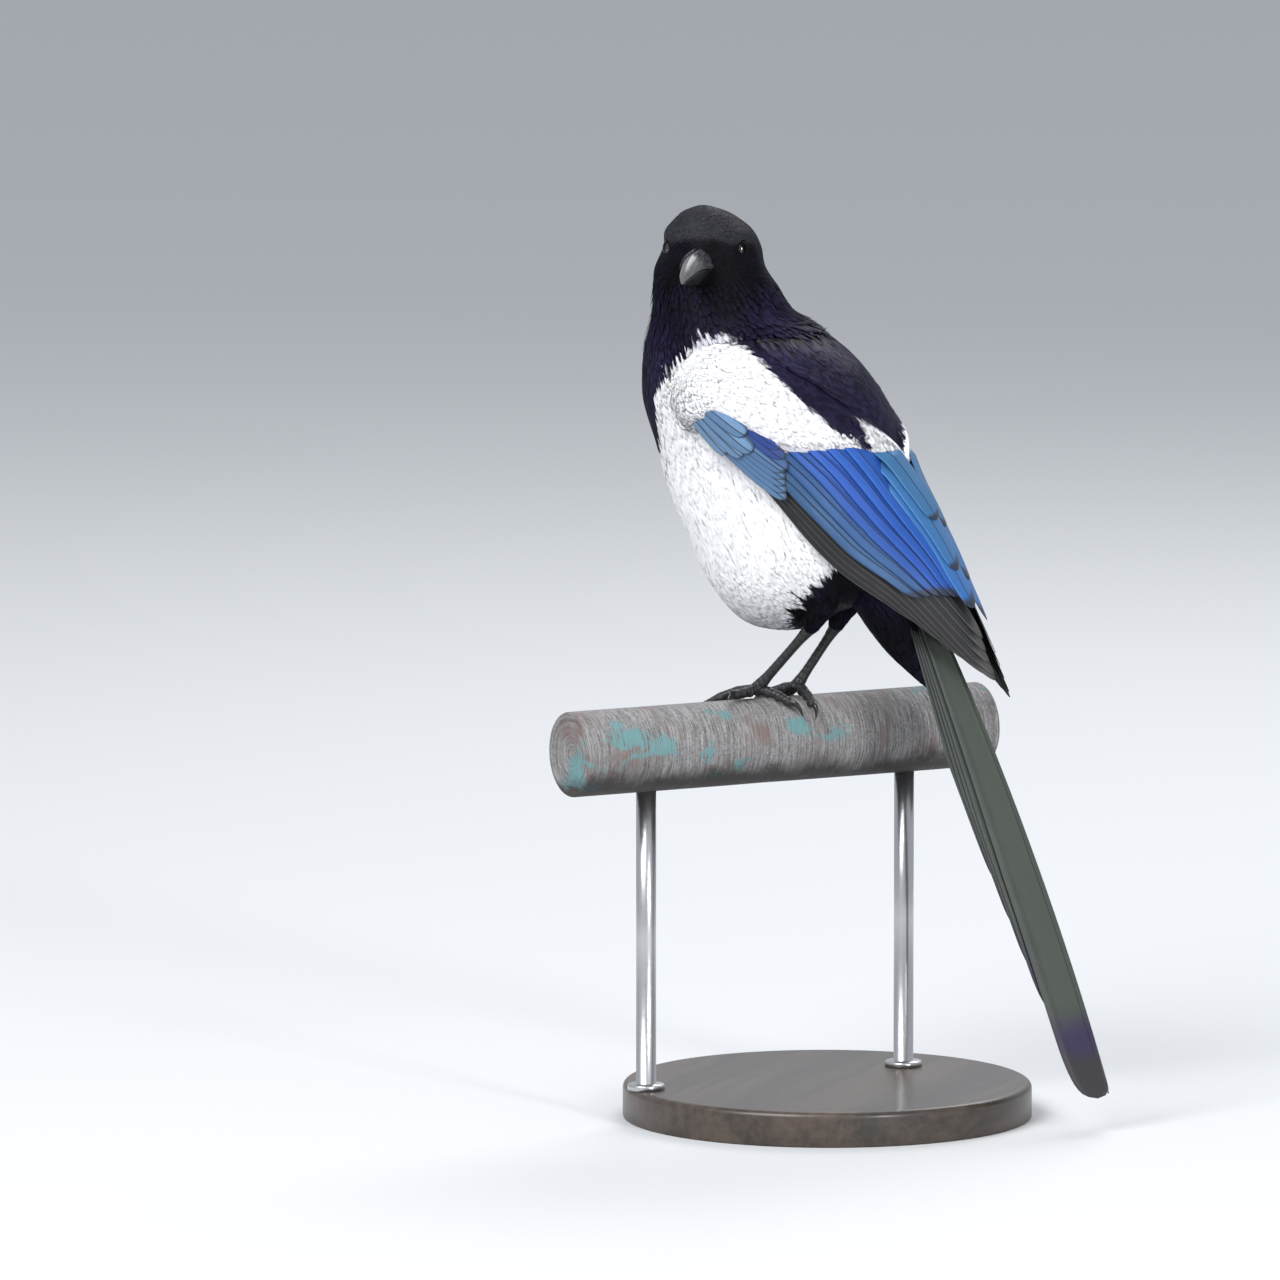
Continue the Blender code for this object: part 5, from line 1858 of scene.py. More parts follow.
@dataclass
class Wing:
    """A folded wing: primaries, secondaries and tertials, and coverts."""

    side: int
    chart: WingChart
    primaries: int = 9
    secondaries: int = 6
    tertials: tuple = ((0.86, 0.80, 5.4), (0.775, 0.845, 5.8), (0.655, 0.90, 5.6))
    primary_tips: tuple = ((0.0, 0.80), (0.22, 0.92), (0.4, 0.985), (0.55, 1.0), (0.75, 0.965),
                           (1.0, 0.92))

    @property
    def word(self) -> str:
        """Which side the wing is on."""
        return "left" if self.side > 0 else "right"

    def place(self, quill: Quill) -> Callable[[Array, Array, Array], Array]:
        """How a feather's own measures lie on the wing.

        Args:
            quill: The feather.

        Returns:
            A function of t, mm across and lift.
        """
        def on_wing(t: Array, across: Array, lift: Array) -> Array:
            """Points of the feather for arrays of t, mm across and lift."""
            u = quill.root[0] + (quill.tip[0] - quill.root[0]) * t
            line = quill.root[1] + (quill.tip[1] - quill.root[1]) * t
            line = line + quill.bend * 4.0 * t * (1.0 - t)
            w = line + across / self.chart.width(u)
            sink = quill.sink * np.maximum(0.0, 1.0 - t / 0.3)
            return self.chart.point(u, w, lift - sink - quill.tilt * across / quill.half_width)
        return on_wing

    def primary_quills(self) -> list[Quill]:
        """The long hand feathers, the outermost first."""
        quills = []
        for k in range(self.primaries):
            share = k / (self.primaries - 1)
            tip = (spread_table(self.primary_tips, share), 0.09 + 0.62 * share ** 1.1)
            root = (0.30 - 0.08 * share, 0.065 + 0.16 * share)
            quills.append(Quill(root, tip, 3.6 + 1.2 * share, 0.8 + 0.28 * k, 0.45, share,
                                POINTED_OUTLINE, -0.45, -0.012))
        return quills

    def secondary_quills(self) -> list[Quill]:
        """The arm feathers and the three tertials over them."""
        quills = []
        for k in range(self.secondaries):
            share = k / (self.secondaries - 1)
            quills.append(Quill((0.26, 0.20 + 0.50 * share), (0.755 + 0.075 * share, 0.28 + 0.46 * share),
                                4.6 + 0.6 * share, 3.9 + 0.22 * k, 0.7, 0.5 * share, LONG_OUTLINE,
                                -0.35, -0.03))
        for k, (tip_u, tip_w, half) in enumerate(self.tertials):
            quills.append(Quill((0.40, 0.71 + 0.05 * k), (tip_u, tip_w), half, 5.4 + 0.55 * k, 0.35,
                                0.7 + 0.15 * k, LONG_OUTLINE, -0.1, 0.02, 5.0))
        return quills

    def covert_quills(self) -> list[Quill]:
        """Primary coverts, alula and greater coverts."""
        quills = []
        for k in range(5):
            share = k / 4
            quills.append(Quill((0.13, 0.06 + 0.12 * share), (0.405 - 0.045 * share, 0.075 + 0.12 * share),
                                2.5, 4.3 + 0.3 * k, 0.4, 0.22 + 0.12 * share, LONG_OUTLINE, -0.2))
        for k in range(3):
            quills.append(Quill((0.14, 0.25 + 0.035 * k), (0.36 - 0.02 * k, 0.225 + 0.04 * k), 2.9,
                                5.2 + 0.25 * k, 0.5, 0.45 + 0.12 * k, LONG_OUTLINE, -0.3))
        for k, (tip_u, tip_w, half) in enumerate(((0.25, 0.035, 2.3), (0.28, 0.10, 2.6),
                                                  (0.288, 0.17, 3.0), (0.255, 0.235, 3.0))):
            quills.append(Quill((0.12, 0.055 + 0.055 * k), (tip_u, tip_w), half, 5.7 + 0.45 * k, 0.4,
                                0.02 + 0.05 * k, LONG_OUTLINE, -0.2))
        return quills

    def build(self, finishes: dict[str, bpy.types.Material]) -> None:
        """Make the wing's feathers.

        Args:
            finishes: The finishes by name.
        """
        node = f"wing_{self.word}"
        for part, quills, finish, rows, cells in (
                ("primaries", self.primary_quills(), "primary", 44, 3),
                ("secondaries", self.secondary_quills(), "secondary", 44, 3),
                ("coverts", self.covert_quills(), "covert", 24, 5)):
            batch = FeatherBatch(f"{node}_{part}", cells, rows, seed=9 + self.side)
            for quill in quills:
                batch.lay(quill, self.place(quill))
            batch.build(finishes[finish], "wing_plumage", node)


@dataclass
class FeatherShell:
    """A closed shell with a coat of its own over its upper side."""

    name: str
    upper: Array
    lower: Array
    lie: Array
    length: Array
    lift: Array
    white: Array
    tint: Array
    gloss: float = 1.0

    def build(self, tree: GeometryBook, tufts: bpy.types.Collection, finish: bpy.types.Material,
              seed: int, spacing: float, width: float, slot: str, *nodes: str) -> None:
        """Make the shell and its coat.

        Args:
            tree: The tree that sets tufts.
            tufts: The tuft shapes.
            finish: The plumage finish.
            seed: Seed of the tufts' places.
            spacing: Least distance between tufts, in mm.
            width: Width of a tuft, in mm.
            slot: The record's material slot.
            nodes: The solids that it stands for.
        """
        rows, columns = self.upper.shape[:2]
        points = np.concatenate((self.upper.reshape(-1, 3), self.lower.reshape(-1, 3)))
        faces = FeatherBatch.shell_faces(rows, columns)
        triangles = np.concatenate((faces[:, (0, 1, 2)], faces[:, (0, 2, 3)]))
        if signed_volume(points, triangles) < 0:
            faces = faces[:, ::-1]
        mesh = solid_mesh(self.name, to_world(points), faces)
        normals = np.empty(len(points) * 3, np.float32)
        mesh.vertices.foreach_get("normal", normals)
        for name, values in (("white", self.white), ("coat_length", self.length * MM),
                             ("coat_lift", self.lift), ("gloss", self.gloss + 0.0 * self.white),
                             ("velvet", 0.0 * self.white), ("tint", self.tint)):
            put(mesh, name, "FLOAT", "POINT", np.tile(values.reshape(-1), 2).astype(np.float32))
        lie = self.lie.reshape(-1, 3)
        put(mesh, "lie", "FLOAT_VECTOR", "POINT", np.concatenate((lie, lie)).astype(np.float32))
        put(mesh, "skin_normal", "FLOAT_VECTOR", "POINT", normals.reshape(-1, 3))
        share_u, share_w = np.meshgrid(np.linspace(0, 1, rows), np.linspace(0, 1, columns), indexing="ij")
        place = np.stack((0.02 + 0.46 * share_w, 0.03 + 0.94 * share_u), -1).reshape(-1, 2)
        place = np.concatenate((place, place + np.array((0.5, 0.0))))
        layer = mesh.uv_layers.new(name="OFBake")
        layer.uv.foreach_set("vector", np.ascontiguousarray(place[faces.ravel()],
                                                            dtype=np.float32).ravel())
        region = np.full(len(faces), BARE_REGION, np.int32)
        region[:(rows - 1) * (columns - 1)] = 0
        put(mesh, "region", "INT", "FACE", region)
        shell = as_object(mesh, finish)
        coat = tree.run(shell, self.name + "_coat", {
            "Region": 0, "Spacing": spacing * MM, "Width": width * MM, "Height": 0.18 * MM,
            "Turn": 0.06, "Lift": 1.0, "Loose": 0.12, "Seed": seed, "Tufts": tufts, "Finish": finish})
        trim_attributes(coat, Coat.kept)
        register(shell, slot, *nodes)
        register(as_object(coat), slot, *nodes)


@dataclass
class Shoulder:
    """The scapulars: a shell over the wing's upper part, with white and black feathers on it."""

    chart: WingChart
    rows: int = 64
    columns: int = 48
    u_end: float = 0.50
    low_edge: tuple = ((0.0, -0.2), (0.105, -0.2), (0.135, -0.12), (0.155, 0.05), (0.175, 0.15),
                       (0.20, 0.19), (0.25, 0.225), (0.30, 0.28), (0.34, 0.37), (0.38, 0.53),
                       (0.42, 0.69), (0.47, 0.84), (0.50, 0.93))
    high_edge: tuple = ((0.0, 1.22), (0.06, 1.16), (0.14, 1.0), (0.25, 0.96), (0.4, 1.0), (0.5, 1.04))
    top: tuple = ((0.0, -2.5), (0.03, 0.2), (0.06, 3.2), (0.10, 6.6), (0.14, 8.3), (0.2, 8.2),
                  (0.3, 7.6), (0.38, 7.2), (0.50, 6.8))
    mark_shift: float = 0.045
    white_edge: tuple = ((0.0, 1.30), (0.03, 1.24), (0.06, 1.12), (0.10, 0.98), (0.137, 0.875),
                         (0.237, 0.735), (0.327, 0.67), (0.38, 0.655), (0.44, 0.72), (0.52, 0.80))
    wedge_from: float = 0.375
    wedge_middle: float = 0.83

    def white(self, u: Array, w: Array) -> Array:
        """Signed depth inside the white, in mm.

        Args:
            u: Places along the wing.
            w: Places across it.

        Returns:
            Positive where the scapulars are white.
        """
        u = u + self.mark_shift
        width = self.chart.width(u)
        main = (read_table(self.white_edge, u)[..., 0] - w) * width
        half = 0.13 * (u - self.wedge_from) / 0.1
        wedge = (half - np.abs(w - self.wedge_middle)) * width
        sliver = np.minimum((w - 1.0) * width, (u - 0.47) * 180.0)
        return np.maximum(np.maximum(main, wedge), sliver)

    def build(self, tree: GeometryBook, tufts: bpy.types.Collection,
              finish: bpy.types.Material) -> None:
        """Make the shell and its coat.

        Args:
            tree: The tree that sets tufts.
            tufts: The tuft shapes.
            finish: The plumage finish.
        """
        word = "left" if self.chart.side > 0 else "right"
        share_w = np.linspace(0.0, 1.0, self.columns)
        u = (np.linspace(0.0, 1.0, self.rows) * self.u_end)[:, None] + 0.0 * share_w[None]
        low = read_table(self.low_edge, u)[..., 0]
        high = read_table(self.high_edge, u)[..., 0]
        w = low + (high - low) * share_w[None]
        rim = 0.72 + 0.28 * smooth_step(0.0, 0.16, w - low)
        front = 0.15 + 0.85 * smooth_step(-0.2, 0.06, w)
        crown = rim * front * (0.22 + 0.78 * smooth_step(1.0, 0.58, share_w))[None]
        top = read_table(self.top, u)[..., 0]
        lift = np.where(top > 0.0, top * crown, top)
        upper = self.chart.point(u, w, lift)
        lower = self.chart.point(u, w, np.minimum(0.2 * lift, lift - 1.0))
        spoke = upper - np.stack((0.0 * u, BODY.middle(upper[..., 2]), upper[..., 2]), -1)
        buried = np.maximum(BODY.outside(upper) + 1.8, 0.0) * (1.0 - smooth_step(0.0, 0.07, u))
        sunk = unit(spoke) * buried[..., None]
        upper, lower = upper - sunk, lower - sunk
        across = unit(np.gradient(upper, axis=1))
        flow = unit(self.chart.point(u + 0.01, w, lift) - self.chart.point(u - 0.01, w, lift))
        settle = 0.22 * smooth_step(0.12, 0.3, u) * smooth_step(0.2, 0.5, w) - 0.12 * smooth_step(0.2, 0.0, w)
        lie = unit(flow - across * settle[..., None])
        length = read_table(((0.0, 7.0), (0.1, 9.0), (0.3, 11.0), (0.47, 12.5)), u)[..., 0]
        stand = 0.0 * u
        fluff = 1.0 - smooth_step(0.0, 0.3, w)
        white = self.white(u, w)
        # painted shade: lavender under the shell's lower rim and along the wing's lower edge
        tint = 0.95 * smooth_step(0.14, 0.0, w - low) * smooth_step(0.1, 0.2, u) + 0.5 * fluff * smooth_step(
            0.04, 0.12, u)
        shell = FeatherShell(f"wing_{word}_scapulars", upper, lower, lie, length,
                             stand + 0.05 * fluff, white, np.clip(tint, 0.0, 1.0))
        shell.build(tree, tufts, finish, 50 + self.chart.side, 1.15, 2.4, "white_plumage", f"wing_{word}")


@dataclass
class Mantle:
    """The black saddle of feathers over the back, from shoulder to shoulder."""

    left: WingChart
    right: WingChart
    rows: int = 40
    columns: int = 60
    u_start: float = 0.01
    u_end: float = 0.50
    crest: tuple = ((0.0, 1.25), (0.04, 1.22), (0.10, 1.0), (0.14, 0.90), (0.2, 0.86), (0.5, 0.86))
    arch: tuple = ((0.0, -4.0), (0.06, -1.8), (0.12, -0.4), (0.25, 1.6), (0.4, 4.0), (0.5, 4.4))

    def build(self, tree: GeometryBook, tufts: bpy.types.Collection,
              finish: bpy.types.Material) -> None:
        """Make the saddle's shell and its coat.

        Args:
            tree: The tree that sets tufts.
            tufts: The tuft shapes.
            finish: The plumage finish.
        """
        u = np.linspace(self.u_start, self.u_end, self.rows)
        lift = read_table(((0.0, -4.0), (0.06, 0.6), (0.12, 3.4), (0.25, 4.9), (0.5, 4.2)), u)[:, 0]
        crest = read_table(self.crest, u)[:, 0]
        ends = [chart.point(u, crest, lift) for chart in (self.left, self.right)]
        polar = []
        for end in ends:
            aside = end[:, 1] - BODY.middle(end[:, 2])
            angle = np.arctan2(aside, end[:, 0])
            angle = np.where(angle < -pi / 2, angle + 2 * pi, angle)
            grow = np.hypot(end[:, 0], aside) - BODY.reach(end[:, 2], angle)
            polar.append(np.stack((angle, end[:, 2], grow), 1))
        share = np.linspace(0.0, 1.0, self.columns)[None, :, None]
        rows = polar[0][:, None] * (1.0 - share) + polar[1][:, None] * share
        bulge = (1.0 - np.abs(2.0 * share[..., 0] - 1.0) ** 2.5)
        angle, height = rows[..., 0], rows[..., 1]
        middle_grow = read_table(self.arch, u)[:, 0][:, None]
        grow = rows[..., 2] * (1.0 - bulge) + middle_grow * bulge

        def over_body(extra: Array) -> Array:
            """Points over the back at the saddle's angles, moved out by extra mm."""
            reach = BODY.reach(height, angle) + extra
            return np.stack((reach * np.cos(angle), BODY.middle(height) + reach * np.sin(angle),
                             height), -1)
        upper, lower = over_body(grow), over_body(np.minimum(grow - 1.0, -1.6))
        lie = unit(np.gradient(upper, axis=0))
        flat = np.ones(angle.shape)
        length = flat * np.linspace(9.0, 15.0, self.rows)[:, None]
        shell = FeatherShell("mantle", upper, lower, lie, length, 0.02 * flat, -6.0 * flat, 0.0 * flat)
        shell.build(tree, tufts, finish, 61, 1.5, 2.6, "black_plumage", "torso")




# ---- tail


TAIL_OUTLINE = ((0.0, 0.45), (0.2, 0.72), (0.45, 0.92), (0.7, 1.0), (0.88, 0.99), (0.94, 0.9),
                (0.975, 0.72), (0.992, 0.45), (1.0, 0.16))


@dataclass
class Tail:
    """The long stepped tail, closed: twelve feathers, with coverts above and below its root."""

    root: tuple[float, float, float] = (0.0, 59.5, 51.0)
    bow: float = 4.8
    tip: tuple[float, float, float] = (0.0, 141.0, -154.0)
    lengths: tuple[float, ...] = (219.5, 190.0, 184.0, 168.0, 150.0, 130.0)
    edges: tuple[float, ...] = (18.8, 17.5, 19.5, 19.9, 20.2, 20.4)
    half_widths: tuple[float, ...] = (14.0, 12.0, 11.5, 11.0, 10.5, 10.0)
    step: float = 0.6
    sunk: float = 6.0
    under_form: tuple = ((-16.0, 13.0, 16.0, 12.0), (-4.0, 14.0, 18.5, 11.0), (10.0, 12.5, 19.0, 9.0),
                         (25.0, 10.5, 16.0, 8.0), (38.0, 8.0, 10.5, 7.0), (50.0, 5.0, 4.0, 6.5))

    def axes(self) -> tuple[Array, Array]:
        """The tail's direction and the way up from its upper face."""
        along = unit(np.array(self.tip) - np.array(self.root))
        above = np.array((0.0, -along[2], along[1]))
        return along, above if above[1] > 0 else -above

    def point(self, along_by: Array, aside: Array, lift: Array) -> Array:
        """Points in the tail.

        Args:
            along_by: mm along it.
            aside: mm to the bird's left.
            lift: mm above its middle.

        Returns:
            The points.
        """
        along, above = self.axes()
        along_by, aside, lift = np.broadcast_arrays(along_by, aside, lift)
        share = np.clip(along_by / self.lengths[0], 0.0, 1.0)
        lift = lift + self.bow * 4.0 * share * (1.0 - share)
        return (np.array(self.root) + along * along_by[..., None]
                + np.array((1.0, 0.0, 0.0)) * aside[..., None] + above * lift[..., None])

    def feather(self, pair: int, side: int) -> tuple[Quill, Callable[[Array, Array, Array], Array]]:
        """One of the twelve long feathers.

        Args:
            pair: 0 for the middle pair, up to 5 for the outermost.
            side: 1 for the bird's left.

        Returns:
            The feather and how it lies.
        """
        length = self.lengths[pair]
        half_width = self.half_widths[pair]
        middle = side * (self.edges[pair] - half_width)
        lift = 0.4 - self.step * (pair + (0.0 if side > 0 else 0.5))
        quill = Quill((0.0, 0.0), (1.0, 0.0), half_width, lift, 0.0, 0.1 + 0.09 * pair,
                      TAIL_OUTLINE, side * -0.12 if pair == 0 else side * (0.12 + 0.07 * pair), 0.0)
        inner = 0.3 if pair else -8.0

        def on_tail(t: Array, across: Array, height: Array) -> Array:
            """Points of the feather for arrays of t, mm across and lift."""
            aside = middle * np.minimum(1.0, 0.45 + t) + across
            aside = side * np.maximum(side * aside, inner)
            sag = -0.36 * np.abs(aside) - 0.006 * aside ** 2
            return self.point(self.sunk + (length - self.sunk) * t, aside, height + sag)
        return quill, on_tail

    def covert(self, reach: float, aside: float, lift: float, half: float,
               hue: float) -> tuple[Quill, Callable[[Array, Array, Array], Array]]:
        """A short feather above or below the tail's root.

        Args:
            reach: Where its tip lies along the tail.
            aside: Its place to the bird's left.
            lift: Its height.
            half: Its half width.
            hue: Its colour.

        Returns:
            The feather and how it lies.
        """
        quill = Quill((0.0, 0.0), (1.0, 0.0), half, lift, 0.0, hue, ROUND_OUTLINE, 0.0, 0.0)

        def on_tail(t: Array, across: Array, height: Array) -> Array:
            """Points of the feather for arrays of t, mm across and lift."""
            spread = aside * (0.7 + 0.3 * t) + across
            drop = -0.03 * spread ** 2
            return self.point(-4.0 + (reach + 4.0) * t, spread, height + drop * (1.0 if lift > 0 else -1.0))
        return quill, on_tail

    def build(self, finishes: dict[str, bpy.types.Material]) -> None:
        """Make the tail.

        Args:
            finishes: The finishes by name.
        """
        long = FeatherBatch("tail_feathers", 4, 64, 0.34, seed=2)
        for pair in range(len(self.lengths) - 1, -1, -1):
            for side in (1, -1):
                long.lay(*self.feather(pair, side))
        long.build(finishes["tail"], "tail_plumage", "tail")
        short = FeatherBatch("tail_coverts", 6, 20, 0.3, seed=5)
        for reach, lift, count, spread, half in ((27.0, 1.4, 4, 15.0, 4.6), (21.0, 2.6, 5, 18.0, 4.6),
                                                 (15.0, 3.6, 5, 17.0, 4.4)):
            for k in range(count):
                aside = (k / (count - 1) - 0.5) * spread
                short.lay(*self.covert(reach + 2.0 * cos(3.0 * k), aside, lift + 0.35 * (k % 2), half,
                                       0.5))
        short.build(finishes["covert_black"], "black_plumage", "tail")

    def under(self, tree: GeometryBook, tufts: bpy.types.Collection, finish: bpy.types.Material) -> None:
        """Make the soft black feathers below the tail's root, as a shell with a coat.

        Args:
            tree: The tree that sets tufts.
            tufts: The tuft shapes.
            finish: The plumage finish.
        """
        place = np.linspace(-16.0, 50.0, 36)[:, None]
        turns = np.linspace(-0.04 * pi, 1.04 * pi, 30)[None]
        rows = read_table(self.under_form, place[:, 0])
        half, deep, sunk = (rows[:, k][:, None] for k in range(3))
        upper = self.point(place, half * np.cos(turns), -sunk - deep * np.sin(turns))
        lower = self.point(place, 0.8 * half * np.cos(turns), -sunk - 0.8 * deep * np.sin(turns) + 0.8)
        flat = np.ones(upper.shape[:2])
        lie = unit(np.gradient(upper, axis=0))
        lift = 0.03 + 0.10 * smooth_step(20.0, 46.0, place) * flat
        shell = FeatherShell("tail_under", upper, lower, lie, 11.0 * flat, lift, -6.0 * flat, 0.0 * flat,
                             0.1)
        shell.build(tree, tufts, finish, 71, 1.7, 2.8, "black_plumage", "tail")
@dataclass(frozen=True)
class HornFinish:
    """Dark horn with a soft gloss, streaked along its length and paler where it is worn."""

    name: str
    dark: Colour
    worn: Colour
    roughness: float = 0.30
    streaks: float = 9.0

    def build(self) -> bpy.types.Material:
        """Make the material."""
        book = ShaderBook(self.name)
        along, around = book.attribute("along"), book.attribute("around")
        sides = book.node("ShaderNodeCombineXYZ", values={0: around * self.streaks, 1: along * 1.5, 2: 0.0})
        streak = book.noise(sides, 3.0, 3.0)
        cloud = book.noise(book.place(), 260.0, 4.0, 0.6)
        wear = (streak * 0.7 + cloud * 0.5).rise(0.45, 0.85)
        colour = book.mix(wear * (1.0 - along * 0.6), self.dark, self.worn)
        normal = book.bump(streak + cloud * 0.4, 0.00006, 0.6)
        return book.finish(colour, self.roughness + (cloud - 0.5) * 0.25, 0.0, normal, Coat_Roughness=0.1)


@dataclass(frozen=True)
class EyeFinish:
    """A wet eye: black pupil, very dark brown iris and a clear cornea over both."""

    name: str = "wet_eye"
    pupil: Colour = (0.002, 0.002, 0.002)
    iris: Colour = (0.004, 0.0025, 0.002)
    rim: Colour = (0.004, 0.003, 0.003)
    pupil_edge: float = 0.50
    iris_edge: float = 0.92

    def build(self) -> bpy.types.Material:
        """Make the material."""
        book = ShaderBook(self.name)
        ring = book.attribute("ring")
        fleck = book.noise(book.place(), 900.0, 3.0)
        colour = book.mix((ring + (fleck - 0.5) * 0.04).rise(self.pupil_edge, self.pupil_edge + 0.04),
                          self.pupil, self.iris)
        colour = book.mix(ring.rise(self.iris_edge, self.iris_edge + 0.08), colour, self.rim)
        tears = book.attribute("ahead").rise(0.66, 0.86)
        return book.finish(colour, 0.06, Coat_Weight=tears, Specular_IOR_Level=0.04, Coat_Roughness=0.02,
                           Coat_IOR=1.9)


@dataclass(frozen=True)
class BillHalf:
    """One half of the bill as rows of place, half width, height and droop along it, in mm."""

    name: str
    up: float
    profile: tuple[tuple[float, float, float, float], ...]


@dataclass
class Bill:
    """Both halves of the bill, with a ridged top, a hooked tip and slit nostrils."""

    yaw: float = radians(9.0)
    pitch: float = radians(-1.5)
    halves: tuple[BillHalf, ...] = (
        BillHalf("bill_upper", 1.0, ((0.0, 6.3, 7.6, 1.9), (8.0, 6.0, 7.2, 0.9), (17.0, 4.9, 6.3, 0.0),
                                     (26.0, 3.6, 5.1, 0.1), (34.0, 2.5, 3.6, 1.0), (39.0, 1.4, 2.2, 2.0),
                                     (41.6, 0.6, 1.0, 2.9), (42.4, 0.2, 0.3, 3.3))),
        BillHalf("bill_lower", -1.0, ((0.0, 6.1, 6.6, 1.9), (8.0, 5.8, 6.8, 0.9), (17.0, 4.9, 6.4, 0.0),
                                      (26.0, 3.8, 5.2, 0.1), (34.0, 2.6, 3.4, 1.0), (38.0, 1.4, 1.7, 1.8),
                                      (39.4, 0.4, 0.4, 2.0))))
    rings: int = 76
    arc_points: int = 30
    flat_points: int = 12
    nostril_at: float = 13.5
    nostril_height: float = 0.42

    def axes(self) -> tuple[Array, Array, Array]:
        """The bill's own directions: along it, above it and to its left."""
        level = np.array((cos(self.yaw), sin(self.yaw), 0.0))
        left = np.array((-sin(self.yaw), cos(self.yaw), 0.0))
        along = level * cos(self.pitch) + UP * sin(self.pitch)
        return along, np.cross(along, left), left

    def point(self, place: Array, across: Array, height: Array) -> Array:
        """Points in the bill's own directions, in mm from its root."""
        along, above, left = self.axes()
        place, across, height = np.broadcast_arrays(place, across, height)
        return (HEAD.bill_start() + along * place[..., None] + left * across[..., None]
                + above * height[..., None])

    def surface(self, half: BillHalf, place: Array, turn: Array, lift: Array) -> Array:
        """Points over one half's outer side.

        Args:
            half: The half.
            place: mm along it.
            turn: Angle from its left cutting edge over the ridge to its right one.
            lift: mm off the surface.

        Returns:
            The points.
        """
        rows = read_table(half.profile, place)
        edge = np.cos(turn)
        shape = np.maximum(1.0 - np.abs(edge) ** 1.75, 0.0) ** 0.62
        dent = 0.75 * np.exp(-((place - self.nostril_at) / 2.3) ** 2
                             - ((shape - self.nostril_height) / 0.16) ** 2) * (half.up > 0)
        wide = rows[..., 0] + lift - dent
        tall = rows[..., 1] + lift - dent * 0.4
        return self.point(place, wide * edge, half.up * (tall * shape + GAP / 2) - rows[..., 2])

    def half_rings(self, half: BillHalf) -> tuple[Array, Array]:
        """Closed rings of one half, and each point's angle as a share."""
        share = np.linspace(0.0, 1.0, self.rings)
        length = half.profile[-1][0]
        place = length * (0.5 * share + 0.5 * np.sin(share * pi / 2))
        turn = np.linspace(0.0, pi, self.arc_points)
        outer = self.surface(half, place[:, None], turn[None], np.zeros(1))
        rows = read_table(half.profile, place)
        across = -np.cos(np.linspace(0.0, pi, self.flat_points + 2)[1:-1])
        hollow = 0.35 * rows[:, 1:2] * (1.0 - across[None] ** 2) * 0.6
        inner = self.point(place[:, None], rows[:, :1] * across[None],
                           half.up * (hollow + GAP / 2) - rows[:, 2:3])
        angle = np.concatenate((turn / pi, 0.0 * across))
        return np.concatenate((outer, inner), 1), np.repeat(angle[None], len(place), 0)

    def build(self, *finishes: bpy.types.Material) -> None:
        """Make both halves.

        Args:
            finishes: The upper and the lower half's horn.
        """
        for half, finish in zip(self.halves, finishes):
            rings, angle = self.half_rings(half)
            bundle = Bundle(half.name + "_horn")
            along = np.linspace(0.0, 1.0, len(rings))[:, None] + 0.0 * angle
            bundle.add_rings(rings, along=along, around=angle)
            register(bundle.build(finish), "horn", half.name)


@dataclass
class Eyes:
    """Both eyes, each with a slightly raised cornea, and the lids round them."""

    radius: float = 4.55
    cornea: float = 0.06
    sides: int = 48
    rings: int = 40
    lid_steps: int = 96
    lid_sides: int = 14

    def build(self, wet: bpy.types.Material, bare: bpy.types.Material) -> None:
        """Make eyes and lids.

        Args:
            wet: The eye finish.
            bare: The finish of bare skin.
        """
        for side, word in ((1, "left"), (-1, "right")):
            angle = np.linspace(0.03, pi - 0.03, self.rings)
            reach = self.radius * (1.0 + self.cornea * np.exp(-(angle / 0.6) ** 4))
            profile = list(zip(reach * np.cos(angle), reach * np.sin(angle)))
            middle, direction = HEAD.eye_middle(side), HEAD.eye_direction(side)
            bundle = Bundle(f"eye_{word}_ball")
            ball = turned(profile, middle, direction, self.sides)
            bundle.add_rings(ball, ring=np.repeat(angle[:, None], self.sides, 1),
                             ahead=unit(ball - middle) @ HEAD.forward())
            register(bundle.build(wet), "eye", f"eye_{word}")
            lid = Bundle(f"lid_{word}")
            rings = self.lid_rings(middle, direction)
            lid.add_torus(rings, along=np.zeros(rings.shape[:2]), around=np.zeros(rings.shape[:2]))
            register(lid.build(bare), "black_plumage", "head")

    def lid_rings(self, middle: Array, direction: Array) -> Array:
        """Rings of the lids' rim: a hooding upper lid, a lower lid and drawn-out corners.

        Args:
            middle: The eye's middle.
            direction: Where the eye looks.

        Returns:
            Rings of points round the eye.
        """
        ahead = unit(HEAD.forward() - direction * (HEAD.forward() @ direction))
        above = np.cross(direction, ahead)
        above = above if above[2] > 0 else -above
        turns = np.linspace(0, 2 * pi, self.lid_steps, endpoint=False)
        upper, corner = np.maximum(np.sin(turns), 0.0), np.abs(np.cos(turns))
        reach = 3.75 + 0.45 * corner ** 6 - 0.25 * upper
        out = 2.85 + 0.32 * upper - 0.25 * corner ** 4
        thick = (0.26 + 0.08 * upper) * (1.0 + 0.10 * np.sin(30 * turns))
        spoke = ahead * np.cos(turns)[:, None] + above * np.sin(turns)[:, None]
        centre = middle + spoke * reach[:, None] + direction * out[:, None]
        round_turns = np.linspace(0, 2 * pi, self.lid_sides, endpoint=False)
        return (centre[:, None] + spoke[:, None] * (np.cos(round_turns)[None] * thick[:, None])[..., None]
                + direction * (np.sin(round_turns)[None] * thick[:, None] * 1.1)[..., None])


